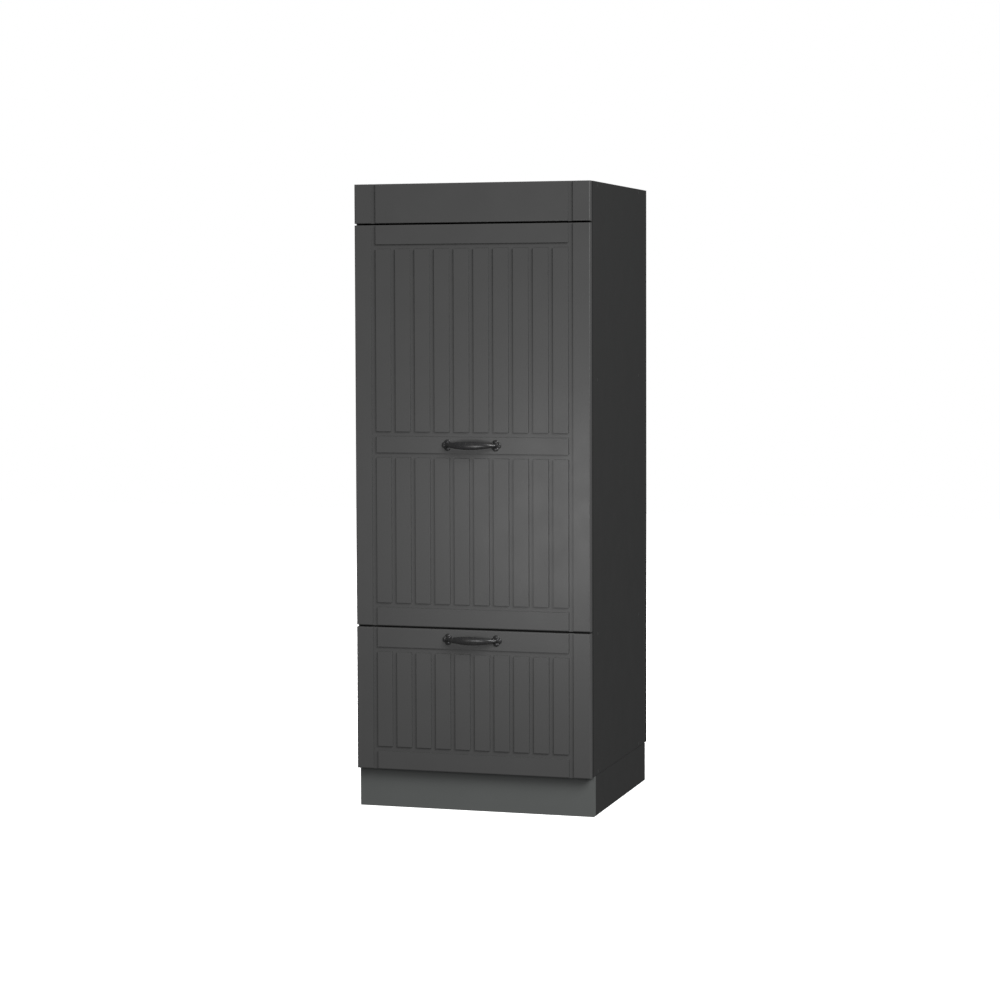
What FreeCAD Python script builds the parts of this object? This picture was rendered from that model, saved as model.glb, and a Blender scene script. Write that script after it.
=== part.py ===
import FreeCAD, Part
import collections
import math
import os
import re
import Sketcher

# Tall pantry cabinet: hinged door above, drawer below, fixed filler panel on top.
#
# Frame: millimetres, +Z up, -Y towards the person who opens it, origin on the floor
# in the middle of the cabinet's outer box (the handles included).
# Every size below is a cell of the document's sheet. Lengths that follow from others
# are formulas over those cells, and every sub-part is bound to them.

DIMENSIONS = {
    # carcass
    "cabinet_width": 600.0,
    "cabinet_height": 1537.0,
    "carcass_depth": 550.0,
    "plinth_height": 99.0,
    "side_thickness": 16.0,
    "board_thickness": 16.0,
    "back_thickness": 3.0,
    "back_inset": 16.0,
    "back_tongue": 7.0,
    "groove_play": 0.4,
    "shelf_play": 1.0,
    "top_compartment_height": 453.0,
    "upper_shelf_rise": 210.0,
    "lower_shelf_rise": 300.0,
    "loose_shelf_setback": 20.0,
    # how far a cutter runs past the face that it cuts
    "overrun": 1.0,
    # carcass fasteners
    "screw_front_offset": 45.0,
    "screw_rear_offset": 465.0,
    "dowel_front_offset": 110.0,
    "dowel_rear_offset": 400.0,
    "screw_radius": 3.0,
    "screw_length": 50.0,
    "screw_head_radius": 5.0,
    "screw_head_height": 2.5,
    "cap_height": 1.2,
    "dowel_radius": 4.0,
    "dowel_length": 34.0,
    "dowel_depth_in_side": 11.0,
    "fastener_play": 0.1,
    # shelf pins and their rows of holes
    "pin_radius": 2.5,
    "pin_hole_depth": 9.0,
    "pin_reach": 8.0,
    "pin_pitch": 32.0,
    "pin_front_offset": 85.0,
    "pin_rear_offset": 440.0,
    "pin_row_margin": 60.0,
    # fronts
    "front_thickness": 18.0,
    "front_gap": 2.0,
    "side_reveal": 1.5,
    "split_gap": 4.0,
    "top_panel_height": 96.0,
    "drawer_front_height": 352.0,
    "bottom_overhang": 1.5,
    "front_edge_radius": 2.5,
    "slat_pitch": 50.0,
    "groove_mouth": 12.4,
    "groove_floor": 11.8,
    "groove_depth": 4.0,
    "door_top_rail": 53.0,
    "door_bottom_rail": 51.5,
    "door_mid_rail_rise": 447.0,
    "door_mid_rail_height": 52.0,
    "drawer_top_rail": 54.5,
    "drawer_bottom_rail": 51.0,
    # handles
    "handle_spacing": 123.0,
    "handle_reach": 27.0,
    "grip_half_height": 10.0,
    "grip_half_thickness": 5.5,
    "grip_end_radius": 5.5,
    "rosette_radius": 13.0,
    "rosette_thickness": 3.5,
    "rosette_rim": 1.5,
    "rosette_dome_inset": 4.0,
    "drawer_handle_drop": 24.5,
    "handle_screw_radius": 2.0,
    "handle_screw_bite": 7.0,
    "handle_screw_head_radius": 4.0,
    "handle_screw_head_height": 1.6,
    # door hinges
    "hinge_axis_inset": 6.3,
    "hinge_axis_depth": 11.5,
    "hinge_end_distance": 100.0,
    "hinge_shelf_distance": 103.0,
    "cup_radius": 17.5,
    "cup_edge_distance": 3.0,
    "cup_wall": 0.6,
    "cup_depth": 14.1,
    "cup_plate_thickness": 1.2,
    "cup_plate_length": 56.0,
    "cup_plate_width": 12.0,
    "cup_plate_offset": 9.5,
    "cup_screw_spacing": 45.0,
    "hinge_pin_radius": 1.0,
    "hinge_pin_half_length": 8.6,
    "hinge_pin_play": 0.05,
    "hinge_bore_half_length": 15.0,
    "hinge_eye_radius": 1.7,
    "hinge_link_width": 6.0,
    "hinge_link_thickness": 1.6,
    "hinge_link_reach": 15.0,
    "arm_length": 58.0,
    "arm_width": 14.0,
    "arm_thickness": 3.5,
    "arm_setback": 4.0,
    "arm_hook_depth": 10.0,
    "plate_thickness": 1.5,
    "plate_boss_height": 3.5,
    "plate_front_margin": 9.0,
    "plate_rear_margin": 20.0,
    "plate_end_margin": 8.0,
    "plate_screw_offset": 37.0,
    "plate_screw_spacing": 32.0,
    # small wood screws
    "small_screw_radius": 1.75,
    "small_screw_length": 12.0,
    "small_head_radius": 3.5,
    "small_head_height": 1.4,
    # drawer box and its runners
    "runner_thickness": 12.7,
    "runner_length": 500.0,
    "runner_height": 45.0,
    "runner_sheet": 1.2,
    "runner_ball_gap": 3.8,
    "ball_radius": 1.6,
    "ball_pitch": 12.0,
    "runner_rise": 75.0,
    "runner_setback": 3.0,
    "outer_lip_end": 9.0,
    "middle_web_start": 4.0,
    "middle_lip_end": 10.0,
    "inner_lip_start": 6.5,
    "outer_ball_distance": 7.5,
    "inner_ball_distance": 8.2,
    "ball_end_distance": 30.0,
    "runner_screw_front": 32.0,
    "runner_screw_middle": 224.0,
    "runner_screw_rear": 448.0,
    "drawer_wall": 12.0,
    "drawer_box_height": 220.0,
    "drawer_box_rise": 15.0,
    "drawer_box_depth": 498.0,
    "drawer_bottom_thickness": 4.0,
    "drawer_bottom_rise": 10.0,
    "drawer_tongue": 6.0,
    "front_screw_inset": 40.0,
    "front_screw_margin": 45.0,
    "front_screw_bite": 10.0,
    "corner_screw_rise": 40.0,
    "corner_screw_drop": 30.0,
    "corner_screw_bite": 20.0,
    "corner_head_height": 1.0,
    # bumpers
    "bumper_radius": 4.0,
    "bumper_height": 1.6,
    "bumper_end_distance": 30.0,
    # fixed panel and wall brackets
    "bracket_sheet": 2.0,
    "bracket_height": 30.0,
    "bracket_leg": 36.0,
    "bracket_drop": 8.0,
    "bracket_screw_inset": 9.0,
    "bracket_screw_lift": 8.0,
    "wall_bracket_half_width": 18.0,
    "wall_hole_drop": 22.0,
    "wall_bracket_spacing": 400.0,
    "wall_screw_radius": 3.0,
    # plinth and legs
    "plinth_setback": 6.6,
    "plinth_rear_setback": 16.3,
    "plinth_board": 16.0,
    "plinth_play": 1.0,
    "leg_to_plinth": 45.0,
    "foot_radius": 25.0,
    "foot_base_height": 6.0,
    "foot_skirt_inset": 3.0,
    "foot_skirt_collar": 2.0,
    "foot_skirt_height": 8.0,
    "stem_radius": 11.5,
    "stem_play": 0.15,
    "socket_radius": 17.0,
    "socket_length": 50.0,
    "socket_flange_radius": 30.0,
    "socket_flange_height": 4.0,
    "leg_screw_distance": 23.0,
    "clip_wall": 3.0,
    "clip_height": 18.0,
    "clip_rise": 58.0,
    "clip_play": 0.05,
    "clip_neck_half_width": 6.0,
    "clip_plate_half_width": 20.0,
    "clip_mouth_half_width": 12.0,
    "clip_mouth_reach": 40.0,
}

# Lengths worked out from the sheet. A formula may name a sheet cell or another formula.
FORMULAS = {
    "half_width": "cabinet_width / 2",
    "inner_half": "half_width - side_thickness",
    "carcass_front": "(handle_reach + front_thickness + front_gap - carcass_depth) / 2",
    "carcass_back": "carcass_front + carcass_depth",
    "back_panel_front": "carcass_back - back_inset - back_thickness",
    "front_back": "carcass_front - front_gap",
    "front_face": "front_back - front_thickness",
    "front_half": "half_width - side_reveal",
    "top_board_low": "cabinet_height - board_thickness",
    "bottom_board_top": "plinth_height + board_thickness",
    "drawer_front_low": "plinth_height - bottom_overhang",
    "drawer_front_top": "drawer_front_low + drawer_front_height",
    "door_low": "drawer_front_top + split_gap",
    "door_top": "top_panel_low - split_gap",
    "top_panel_low": "cabinet_height - top_panel_height",
    "drawer_shelf_top": "drawer_front_top + split_gap / 2",
    "drawer_shelf_middle": "drawer_shelf_top - board_thickness / 2",
    "top_board_middle": "cabinet_height - board_thickness / 2",
    "bottom_board_middle": "plinth_height + board_thickness / 2",
    "centre_shelf_top": "top_board_low - top_compartment_height",
    "centre_shelf_low": "centre_shelf_top - board_thickness",
    "centre_shelf_middle": "centre_shelf_top - board_thickness / 2",
    "upper_pin_height": "centre_shelf_top + upper_shelf_rise - pin_radius",
    "lower_pin_height": "drawer_shelf_top + lower_shelf_rise - pin_radius",
    "hinge_x": "hinge_axis_inset - front_half",
    "hinge_y": "front_back - hinge_axis_depth",
    "cup_x": "cup_edge_distance + cup_radius - front_half",
    "cup_plate_middle": "cup_x + cup_plate_offset",
    "door_handle_height": "door_low + door_mid_rail_rise",
    "drawer_handle_height": "drawer_front_top - drawer_handle_drop",
    "box_half": "inner_half - runner_thickness",
    "box_low": "bottom_board_top + drawer_box_rise",
    "box_inner_half": "box_half - drawer_wall",
    "box_back": "front_back + drawer_box_depth",
    "runner_middle": "bottom_board_top + runner_rise",
    "runner_front": "carcass_front + runner_setback",
    "middle_half": "runner_height / 2 - runner_sheet - runner_ball_gap",
    "inner_member_half": "middle_half - runner_sheet - runner_ball_gap",
    "plinth_front": "carcass_front + plinth_setback",
    "plinth_back": "carcass_back - plinth_rear_setback",
    "plinth_top": "plinth_height - plinth_play",
    "leg_x": "half_width - plinth_board - leg_to_plinth",
    "leg_front_y": "plinth_front + plinth_board + leg_to_plinth",
    "leg_rear_y": "plinth_back - leg_to_plinth - foot_radius",
}

doc = FreeCAD.newDocument("pantry_cabinet")
sheet = doc.addObject("Spreadsheet::Sheet", "sizes")
for row, (alias, number) in enumerate(DIMENSIONS.items(), start=1):
    sheet.set("A%d" % row, alias)
    sheet.set("B%d" % row, str(number))
    sheet.setAlias("B%d" % row, alias)
doc.recompute()

WORD = re.compile(r"[a-z_]+[a-z]")
AXIS_TURN = {
    "X": FreeCAD.Rotation(FreeCAD.Vector(0, 1, 0), 90),
    "Y": FreeCAD.Rotation(FreeCAD.Vector(1, 0, 0), -90),
    "Z": FreeCAD.Rotation(),
}
UNIT = {"X": 0, "Y": 1, "Z": 2}
parts = []


def formula(text):
    """Expand formula names and point the rest at the sheet's cells."""
    def spell_out(match):
        word = match.group(0)
        if word in FORMULAS:
            return "(" + formula(FORMULAS[word]) + ")"
        return "sizes." + word if word in DIMENSIONS else word
    return WORD.sub(spell_out, str(text))


def bind(thing, target, text):
    """Bind a property to a formula."""
    thing.setExpression(target, formula(text))


def place(thing, point):
    """Bind the thing's position to three formulas."""
    for letter, text in zip("xyz", point):
        bind(thing, "Placement.Base." + letter, text)


def size(alias):
    """Number in one of the sheet's cells."""
    return float(sheet.get(alias))


def box(name, low, lengths):
    """Block from its lowest corner and its three lengths."""
    block = doc.addObject("Part::Box", name)
    for side, text in zip(("Length", "Width", "Height"), lengths):
        bind(block, side, text)
    place(block, low)
    return block


def slab(name, xs, ys, zs):
    """Block between two formulas on each axis."""
    lengths = ["(%s) - (%s)" % (high, low) for low, high in (xs, ys, zs)]
    return box(name, (xs[0], ys[0], zs[0]), lengths)


def rod(name, axis, start, radius, length):
    """Cylinder that starts at a point and runs along +X, +Y or +Z."""
    bar = doc.addObject("Part::Cylinder", name)
    bind(bar, "Radius", radius)
    bind(bar, "Height", length)
    bar.Placement = FreeCAD.Placement(FreeCAD.Vector(), AXIS_TURN[axis])
    place(bar, start)
    return bar


def cone(name, axis, start, radius_start, radius_end, length):
    """Frustum that starts at a point and runs along +X, +Y or +Z."""
    body = doc.addObject("Part::Cone", name)
    bind(body, "Radius1", radius_start)
    bind(body, "Radius2", radius_end)
    bind(body, "Height", length)
    body.Placement = FreeCAD.Placement(FreeCAD.Vector(), AXIS_TURN[axis])
    place(body, start)
    return body


def group(name, members):
    """Separate solids kept together."""
    bunch = doc.addObject("Part::Compound", name)
    bunch.Links = members
    return bunch


def join(name, members):
    """One solid from several."""
    union = doc.addObject("Part::MultiFuse", name)
    union.Shapes = members
    return union


def cut(name, base, tools):
    """Base with every tool taken away."""
    remainder = doc.addObject("Part::Cut", name)
    remainder.Base = base
    remainder.Tool = tools[0] if len(tools) == 1 else group(name + "_tools", tools)
    return remainder


def keep(thing, label):
    """Hand the sub-part in under its own label."""
    thing.Label = label
    parts.append(thing)
    return thing


def shifted(point, axis, text):
    """Point moved along one axis by a formula."""
    moved = list(point)
    moved[UNIT[axis]] = "(%s) + (%s)" % (moved[UNIT[axis]], text)
    return moved


def headed_screw(name, axis, sign, seat, shank, head):
    """Screw whose head's underside lies on the seat and whose shank runs along sign * axis."""
    shank_radius, shank_length = shank
    head_radius, head_height = head
    if sign > 0:
        shank_start, head_start = seat, shifted(seat, axis, "0 - (%s)" % head_height)
    else:
        shank_start, head_start = shifted(seat, axis, "0 - (%s)" % shank_length), seat
    return join(name, [
        rod(name + "_shank", axis, shank_start, shank_radius, shank_length),
        rod(name + "_head", axis, head_start, head_radius, head_height),
    ])


def screw_hole(name, axis, sign, seat, radius, length):
    """Hole for a shank that runs from the seat along sign * axis, a little longer than it."""
    depth = "(%s) + fastener_play" % length
    start = seat if sign > 0 else shifted(seat, axis, "0 - (%s)" % depth)
    return rod(name, axis, start, radius, depth)


SMALL_SHANK = ("small_screw_radius - fastener_play", "small_screw_length")
SMALL_HEAD = ("small_head_radius", "small_head_height")


def small_screws(prefix, axis, sign, seats):
    """Small wood screws and the holes that they turn into, one of each at every seat."""
    screws, holes = [], []
    for number, seat in enumerate(seats):
        name = "%s_%d" % (prefix, number)
        screws.append(headed_screw(name, axis, sign, seat, SMALL_SHANK, SMALL_HEAD))
        holes.append(screw_hole(name + "_hole", axis, sign, seat, "small_screw_radius", SMALL_SHANK[1]))
    return screws, holes


# --- sketched bodies ---------------------------------------------------------------

def origin_item(body, role):
    """One of the body's own planes or axes."""
    return next(item for item in body.Origin.OriginFeatures if item.Role == role)


def sketch_on(body, role, name, lift="0"):
    """Empty sketch on one of the body's own origin planes, lifted along its normal."""
    sketch = body.newObject("Sketcher::SketchObject", name)
    sketch.AttachmentSupport = [(origin_item(body, role), "")]
    sketch.MapMode = "FlatFace"
    bind(sketch, "AttachmentOffset.Base.z", lift)
    return sketch


def outline(sketch, points):
    """Closed outline whose corners are bound to pairs of formulas.

    The rough corners are only where the solver starts from.
    """
    rough = [FreeCAD.Vector(*corner) for corner in points["rough"]]
    last = len(rough) - 1
    for index, corner in enumerate(rough):
        following = rough[0] if index == last else rough[index + 1]
        sketch.addGeometry(Part.LineSegment(corner, following), False)
    for index in range(len(rough)):
        following = 0 if index == last else index + 1
        sketch.addConstraint(Sketcher.Constraint("Coincident", index, 2, following, 1))
    for index, pair in enumerate(points["bound"]):
        for kind, text, rough_value in zip(("DistanceX", "DistanceY"), pair, points["rough"][index]):
            constraint = Sketcher.Constraint(kind, -1, 1, index, 1, rough_value)
            number = sketch.addConstraint(constraint)
            bind(sketch, "Constraints[%d]" % number, text)


def rectangle(xs, ys, rough):
    """Corner formulas of a rectangle, with rough corners of the same order and sign."""
    low_x, low_y, high_x, high_y = rough
    return {
        "bound": [(xs[0], ys[0]), (xs[1], ys[0]), (xs[1], ys[1]), (xs[0], ys[1])],
        "rough": [(low_x, low_y), (high_x, low_y), (high_x, high_y), (low_x, high_y)],
    }


def groove_section(middle, rough_middle, across_first=True):
    """Section of a milled groove: mouth a little outside the face, narrower flat floor."""
    slope = "(groove_mouth - groove_floor) / 2 / groove_depth"
    half_mouth = "groove_mouth / 2 + overrun * %s" % slope
    outside, floor = "0 - overrun", "groove_depth"
    corners = [
        ("(%s) - (%s)" % (middle, half_mouth), outside, rough_middle - 8, -1),
        ("(%s) + (%s)" % (middle, half_mouth), outside, rough_middle + 8, -1),
        ("(%s) + groove_floor / 2" % middle, floor, rough_middle + 4, 3),
        ("(%s) - groove_floor / 2" % middle, floor, rough_middle - 4, 3),
    ]
    if across_first:
        return {"bound": [c[:2] for c in corners], "rough": [c[2:] for c in corners]}
    return {"bound": [c[1::-1] for c in corners], "rough": [c[:1:-1] for c in corners]}


def pocket(body, sketch, length):
    """Pocket cut along the sketch's own normal."""
    feature = body.newObject("PartDesign::Pocket", sketch.Name + "_pocket")
    feature.Profile = sketch
    feature.Reversed = True
    bind(feature, "Length", length)
    return feature


def repeat_across(body, feature, length, occurrences):
    """Copies of a feature spread evenly along the body's X axis."""
    pattern = body.newObject("PartDesign::LinearPattern", feature.Name + "_row")
    pattern.Originals = [feature]
    pattern.Direction = (origin_item(body, "X_Axis"), [""])
    bind(pattern, "Length", length)
    pattern.Occurrences = occurrences
    body.Tip = pattern
    return pattern


SLATS = 10
ON_FACE = 0.01


def grooved_front(name, low, height, slat_fields, cross_grooves):
    """Front with a full-height groove beside each stile and slatted fields between rails.

    The body's own frame has its origin on the front face at the front's lower edge,
    with Y into the board. slat_fields are (bottom, top) pairs of groove centre lines.
    """
    body = doc.addObject("PartDesign::Body", name)
    board = sketch_on(body, "XZ_Plane", name + "_outline")
    outline(board, rectangle(("0 - front_half", "front_half"), ("0", height), (-298, 0, 298, 100)))
    pad = body.newObject("PartDesign::Pad", name + "_pad")
    pad.Profile = board
    pad.Reversed = True
    bind(pad, "Length", "front_thickness")
    doc.recompute()
    face_edges = []
    for number, edge in enumerate(pad.Shape.Edges, start=1):
        if max(abs(corner.Point.y) for corner in edge.Vertexes) < ON_FACE:
            face_edges.append("Edge%d" % number)
    round_over = body.newObject("PartDesign::Fillet", name + "_round_over")
    round_over.Base = (pad, face_edges)
    bind(round_over, "Radius", "front_edge_radius")
    body.Tip = round_over
    doc.recompute()

    span = "slat_pitch * %d" % SLATS
    stile = sketch_on(body, "XY_Plane", name + "_stile_groove", "0 - overrun")
    outline(stile, groove_section("0 - %s / 2" % span, -250))
    stile_cut = pocket(body, stile, "(%s) + 2 * overrun" % height)
    repeat_across(body, stile_cut, span, 2)
    for number, (bottom, top) in enumerate(slat_fields):
        slat = sketch_on(body, "XY_Plane", "%s_slat_groove_%d" % (name, number), bottom)
        outline(slat, groove_section("0 - %s / 2 + slat_pitch" % span, -200))
        slat_cut = pocket(body, slat, "(%s) - (%s)" % (top, bottom))
        repeat_across(body, slat_cut, "slat_pitch * %d" % (SLATS - 2), SLATS - 1)
    for number, level in enumerate(cross_grooves):
        cross = sketch_on(body, "YZ_Plane", "%s_cross_groove_%d" % (name, number), "0 - %s / 2" % span)
        outline(cross, groove_section(level, 40, across_first=False))
        body.Tip = pocket(body, cross, span)
    place(body, ("0", "front_face", low))
    return body


# --- carcass -----------------------------------------------------------------------

LEFT, RIGHT = -1, 1
SIDE_NAMES = {LEFT: "left", RIGHT: "right"}
BOARD_LEVELS = ("top_board_middle", "centre_shelf_middle", "drawer_shelf_middle", "bottom_board_middle")
SCREW_OFFSETS = ("screw_front_offset", "screw_rear_offset")
DOWEL_OFFSETS = ("dowel_front_offset", "dowel_rear_offset")
PIN_OFFSETS = ("pin_front_offset", "pin_rear_offset")


def pin_steps(rise, clear_height):
    """Steps of one pitch that a row of pin holes has below and above the loose shelf's pins."""
    below = math.floor((rise - size("pin_row_margin")) / size("pin_pitch"))
    above = math.floor((clear_height - rise - size("pin_row_margin")) / size("pin_pitch"))
    return range(-max(below, 0), max(above, 0) + 1)


LOWER_CLEAR_HEIGHT = (size("cabinet_height") - size("top_compartment_height") - size("plinth_height")
                      - size("drawer_front_height") + size("bottom_overhang") - size("split_gap") / 2
                      - 2 * size("board_thickness"))
PIN_ROWS = {
    "upper_pin_height": pin_steps(size("upper_shelf_rise"), size("top_compartment_height")),
    "lower_pin_height": pin_steps(size("lower_shelf_rise"), LOWER_CLEAR_HEIGHT),
}


def carcass_y(offset):
    """Distance behind the carcass's front edge, as a formula."""
    return "carcass_front + " + offset


def mirrored_x(hand, text):
    """Formula for the right-hand side, turned round for the left."""
    return text if hand == RIGHT else "0 - (%s)" % text


def mirrored_span(hand, low, high):
    """Pair of formulas for the right-hand side, turned round for the left."""
    return (low, high) if hand == RIGHT else ("0 - (%s)" % high, "0 - (%s)" % low)


def outward_rod(name, hand, inner_end, level, offset, radius, length):
    """Rod along X whose inner end is at a distance from the middle, on either side."""
    start = inner_end if hand == RIGHT else "0 - (%s) - (%s)" % (inner_end, length)
    return rod(name, "X", (start, carcass_y(offset), level), radius, length)


HEAD_SEAT = "half_width - cap_height - screw_head_height"
Fastenings = collections.namedtuple("Fastenings", "screws caps dowels pins side_holes board_holes")


def carcass_fastenings(hand):
    """Long screws, caps, dowels and shelf pins of one side, with the holes they need."""
    tag = SIDE_NAMES[hand]
    screws, caps, dowels, pins = [], [], [], []
    side_holes, board_holes = [], {level: [] for level in BOARD_LEVELS}
    for row, level in enumerate(BOARD_LEVELS):
        for column, offset in enumerate(SCREW_OFFSETS):
            name = "screw_%s_%d_%d" % (tag, row, column)
            inner = HEAD_SEAT + " - screw_length"
            shank = outward_rod(name + "_shank", hand, inner, level, offset, "screw_radius", "screw_length")
            head = outward_rod(name + "_head", hand, HEAD_SEAT, level, offset,
                               "screw_head_radius", "screw_head_height")
            screws.append(join(name, [shank, head]))
            caps.append(outward_rod(name + "_cap", hand, "half_width - cap_height", level, offset,
                                    "screw_head_radius", "cap_height"))
            hole_radius = "screw_radius + fastener_play"
            side_holes.append(outward_rod(name + "_bore", hand, "inner_half - overrun", level, offset,
                                          hole_radius, "side_thickness"))
            side_holes.append(outward_rod(name + "_sink", hand, HEAD_SEAT, level, offset,
                                          "screw_head_radius + fastener_play", "side_thickness"))
            board_holes[level].append(outward_rod(
                name + "_board_bore", hand, inner + " - fastener_play", level, offset,
                hole_radius, "screw_length"))
        for column, offset in enumerate(DOWEL_OFFSETS):
            name = "dowel_%s_%d_%d" % (tag, row, column)
            inner = "inner_half + dowel_depth_in_side - dowel_length"
            dowels.append(outward_rod(name, hand, inner, level, offset, "dowel_radius", "dowel_length"))
            hole_radius = "dowel_radius + fastener_play"
            side_holes.append(outward_rod(name + "_side_hole", hand, "inner_half", level, offset,
                                          hole_radius, "dowel_depth_in_side + fastener_play"))
            board_holes[level].append(outward_rod(
                name + "_board_hole", hand, inner + " - fastener_play", level, offset,
                hole_radius, "dowel_length"))
    for pin_level, steps in PIN_ROWS.items():
        for column, offset in enumerate(PIN_OFFSETS):
            name = "pin_%s_%s_%d" % (tag, pin_level, column)
            pins.append(outward_rod(name, hand, "inner_half - pin_reach", pin_level, offset,
                                    "pin_radius", "pin_reach + pin_hole_depth - fastener_play"))
            for hole_number, step in enumerate(steps):
                side_holes.append(outward_rod(
                    "%s_hole_%d" % (name, hole_number), hand, "inner_half",
                    "%s + pin_pitch * %d" % (pin_level, step), offset,
                    "pin_radius + fastener_play", "pin_hole_depth"))
    return Fastenings(screws, caps, dowels, pins, side_holes, board_holes)


fastenings = {hand: carcass_fastenings(hand) for hand in (LEFT, RIGHT)}
board_holes = {
    level: fastenings[LEFT].board_holes[level] + fastenings[RIGHT].board_holes[level]
    for level in BOARD_LEVELS
}

# --- fronts' fittings that drill the sides -------------------------------------------

HINGE_LEVELS = {
    "top": "door_top - hinge_end_distance",
    "middle": "centre_shelf_middle - hinge_shelf_distance",
    "bottom": "door_low + hinge_end_distance",
}
PLATE_SEAT = "plate_thickness - inner_half"
plate_seats = [
    (PLATE_SEAT, carcass_y("plate_screw_offset"), "%s + %d * plate_screw_spacing / 2" % (level, sign))
    for level in HINGE_LEVELS.values()
    for sign in (-1, 1)
]
plate_screws, plate_holes = small_screws("plate_screw", "X", -1, plate_seats)

RUNNER_SCREW_PLACES = ("runner_screw_front", "runner_screw_middle", "runner_screw_rear")


def runner_seats(hand, distance):
    """Screw seats along one runner, at a distance from the side panel's inner face."""
    x = mirrored_x(hand, "inner_half - %s" % distance)
    return [(x, "runner_front + " + place_along, "runner_middle") for place_along in RUNNER_SCREW_PLACES]


runner_screws, runner_side_holes = {}, {}
drawer_runner_screws, drawer_side_holes = {}, {}
for hand in (LEFT, RIGHT):
    tag = SIDE_NAMES[hand]
    runner_screws[hand], runner_side_holes[hand] = small_screws(
        "runner_screw_" + tag, "X", hand, runner_seats(hand, "runner_sheet"))
    drawer_runner_screws[hand], drawer_side_holes[hand] = small_screws(
        "slide_screw_" + tag, "X", -hand, runner_seats(hand, "(runner_thickness - runner_sheet)"))

BRACKET_LEVEL = "top_board_low - bracket_drop - bracket_height / 2"
BRACKET_OUTER = "inner_half - bracket_sheet"
BRACKET_SCREW_X = "inner_half - bracket_leg + bracket_screw_inset"
BRACKET_SCREW_Y = "front_back + bracket_leg - bracket_screw_inset"
SCREW_LIFTS = {"low": " - bracket_screw_lift", "high": " + bracket_screw_lift"}
bracket_side_screws, bracket_side_holes, bracket_front_screws, bracket_front_holes = {}, {}, {}, {}
for hand in (LEFT, RIGHT):
    tag = SIDE_NAMES[hand]
    side_seats = [(mirrored_x(hand, BRACKET_OUTER), BRACKET_SCREW_Y, BRACKET_LEVEL + lift)
                  for lift in SCREW_LIFTS.values()]
    bracket_side_screws[hand], bracket_side_holes[hand] = small_screws(
        "bracket_side_screw_" + tag, "X", hand, side_seats)
    front_seats = [(mirrored_x(hand, BRACKET_SCREW_X), "front_back + bracket_sheet", BRACKET_LEVEL + lift)
                   for lift in SCREW_LIFTS.values()]
    bracket_front_screws[hand], bracket_front_holes[hand] = small_screws(
        "bracket_front_screw_" + tag, "Y", -1, front_seats)

groove_low = "bottom_board_top - back_tongue - groove_play"
groove_high = "top_board_low + back_tongue + groove_play"
BACK_SLOT_Y = ("back_panel_front", "back_panel_front + back_thickness + groove_play")
SIDE_SLOT = ("inner_half", "inner_half + back_tongue + groove_play")
for hand in (LEFT, RIGHT):
    tag = SIDE_NAMES[hand]
    panel = slab("side_block_" + tag, mirrored_span(hand, "inner_half", "half_width"),
                 ("carcass_front", "carcass_back"), ("plinth_height", "cabinet_height"))
    slot = slab("side_slot_" + tag, mirrored_span(hand, *SIDE_SLOT), BACK_SLOT_Y, (groove_low, groove_high))
    tools = fastenings[hand].side_holes + runner_side_holes[hand] + bracket_side_holes[hand] + [slot]
    if hand == LEFT:
        tools += plate_holes
    keep(cut("side_cut_" + tag, panel, tools), "side_" + tag)


def carcass_board(name, zs, ys, tools):
    """Board between the sides, with its holes and grooves cut."""
    board = slab(name + "_block", ("0 - inner_half", "inner_half"), ys, zs)
    return cut(name + "_cut", board, tools)


FULL_DEPTH = ("carcass_front", "carcass_back")
SHELF_DEPTH = ("carcass_front", "back_panel_front - shelf_play")

WALL_BRACKET_X = {hand: mirrored_x(hand, "wall_bracket_spacing / 2") for hand in (LEFT, RIGHT)}
WALL_BRACKET_SCREW_Y = "back_panel_front - bracket_leg + bracket_screw_inset"
top_bracket_seats = [
    (WALL_BRACKET_X[hand] + lift, WALL_BRACKET_SCREW_Y, "top_board_low - bracket_sheet")
    for hand in (LEFT, RIGHT)
    for lift in SCREW_LIFTS.values()
]
wall_bracket_screws, wall_bracket_holes = small_screws("wall_bracket_screw", "Z", 1, top_bracket_seats)

top_slot = slab("top_slot", ("0 - inner_half", "inner_half"), BACK_SLOT_Y, ("top_board_low", groove_high))
keep(carcass_board("top", ("top_board_low", "cabinet_height"), FULL_DEPTH,
                   board_holes["top_board_middle"] + wall_bracket_holes + [top_slot]), "top_board")

leg_places = {
    "front_left": ("0 - leg_x", "leg_front_y"),
    "front_right": ("leg_x", "leg_front_y"),
    "rear_left": ("0 - leg_x", "leg_rear_y"),
    "rear_right": ("leg_x", "leg_rear_y"),
}
leg_seats = [
    (x, "%s + %d * leg_screw_distance" % (y, sign), "plinth_height - socket_flange_height")
    for x, y in leg_places.values()
    for sign in (-1, 1)
]
leg_screws, leg_screw_holes = small_screws("leg_screw", "Z", 1, leg_seats)
bottom_slot = slab("bottom_slot", ("0 - inner_half", "inner_half"), BACK_SLOT_Y,
                   (groove_low, "bottom_board_top"))
keep(carcass_board("bottom", ("plinth_height", "bottom_board_top"), FULL_DEPTH,
                   board_holes["bottom_board_middle"] + leg_screw_holes + [bottom_slot]), "bottom_board")
keep(carcass_board("centre", ("centre_shelf_low", "centre_shelf_top"), SHELF_DEPTH,
                   board_holes["centre_shelf_middle"]), "centre_shelf")
keep(carcass_board("divider", ("drawer_shelf_top - board_thickness", "drawer_shelf_top"), SHELF_DEPTH,
                   board_holes["drawer_shelf_middle"]), "drawer_divider_shelf")

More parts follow.
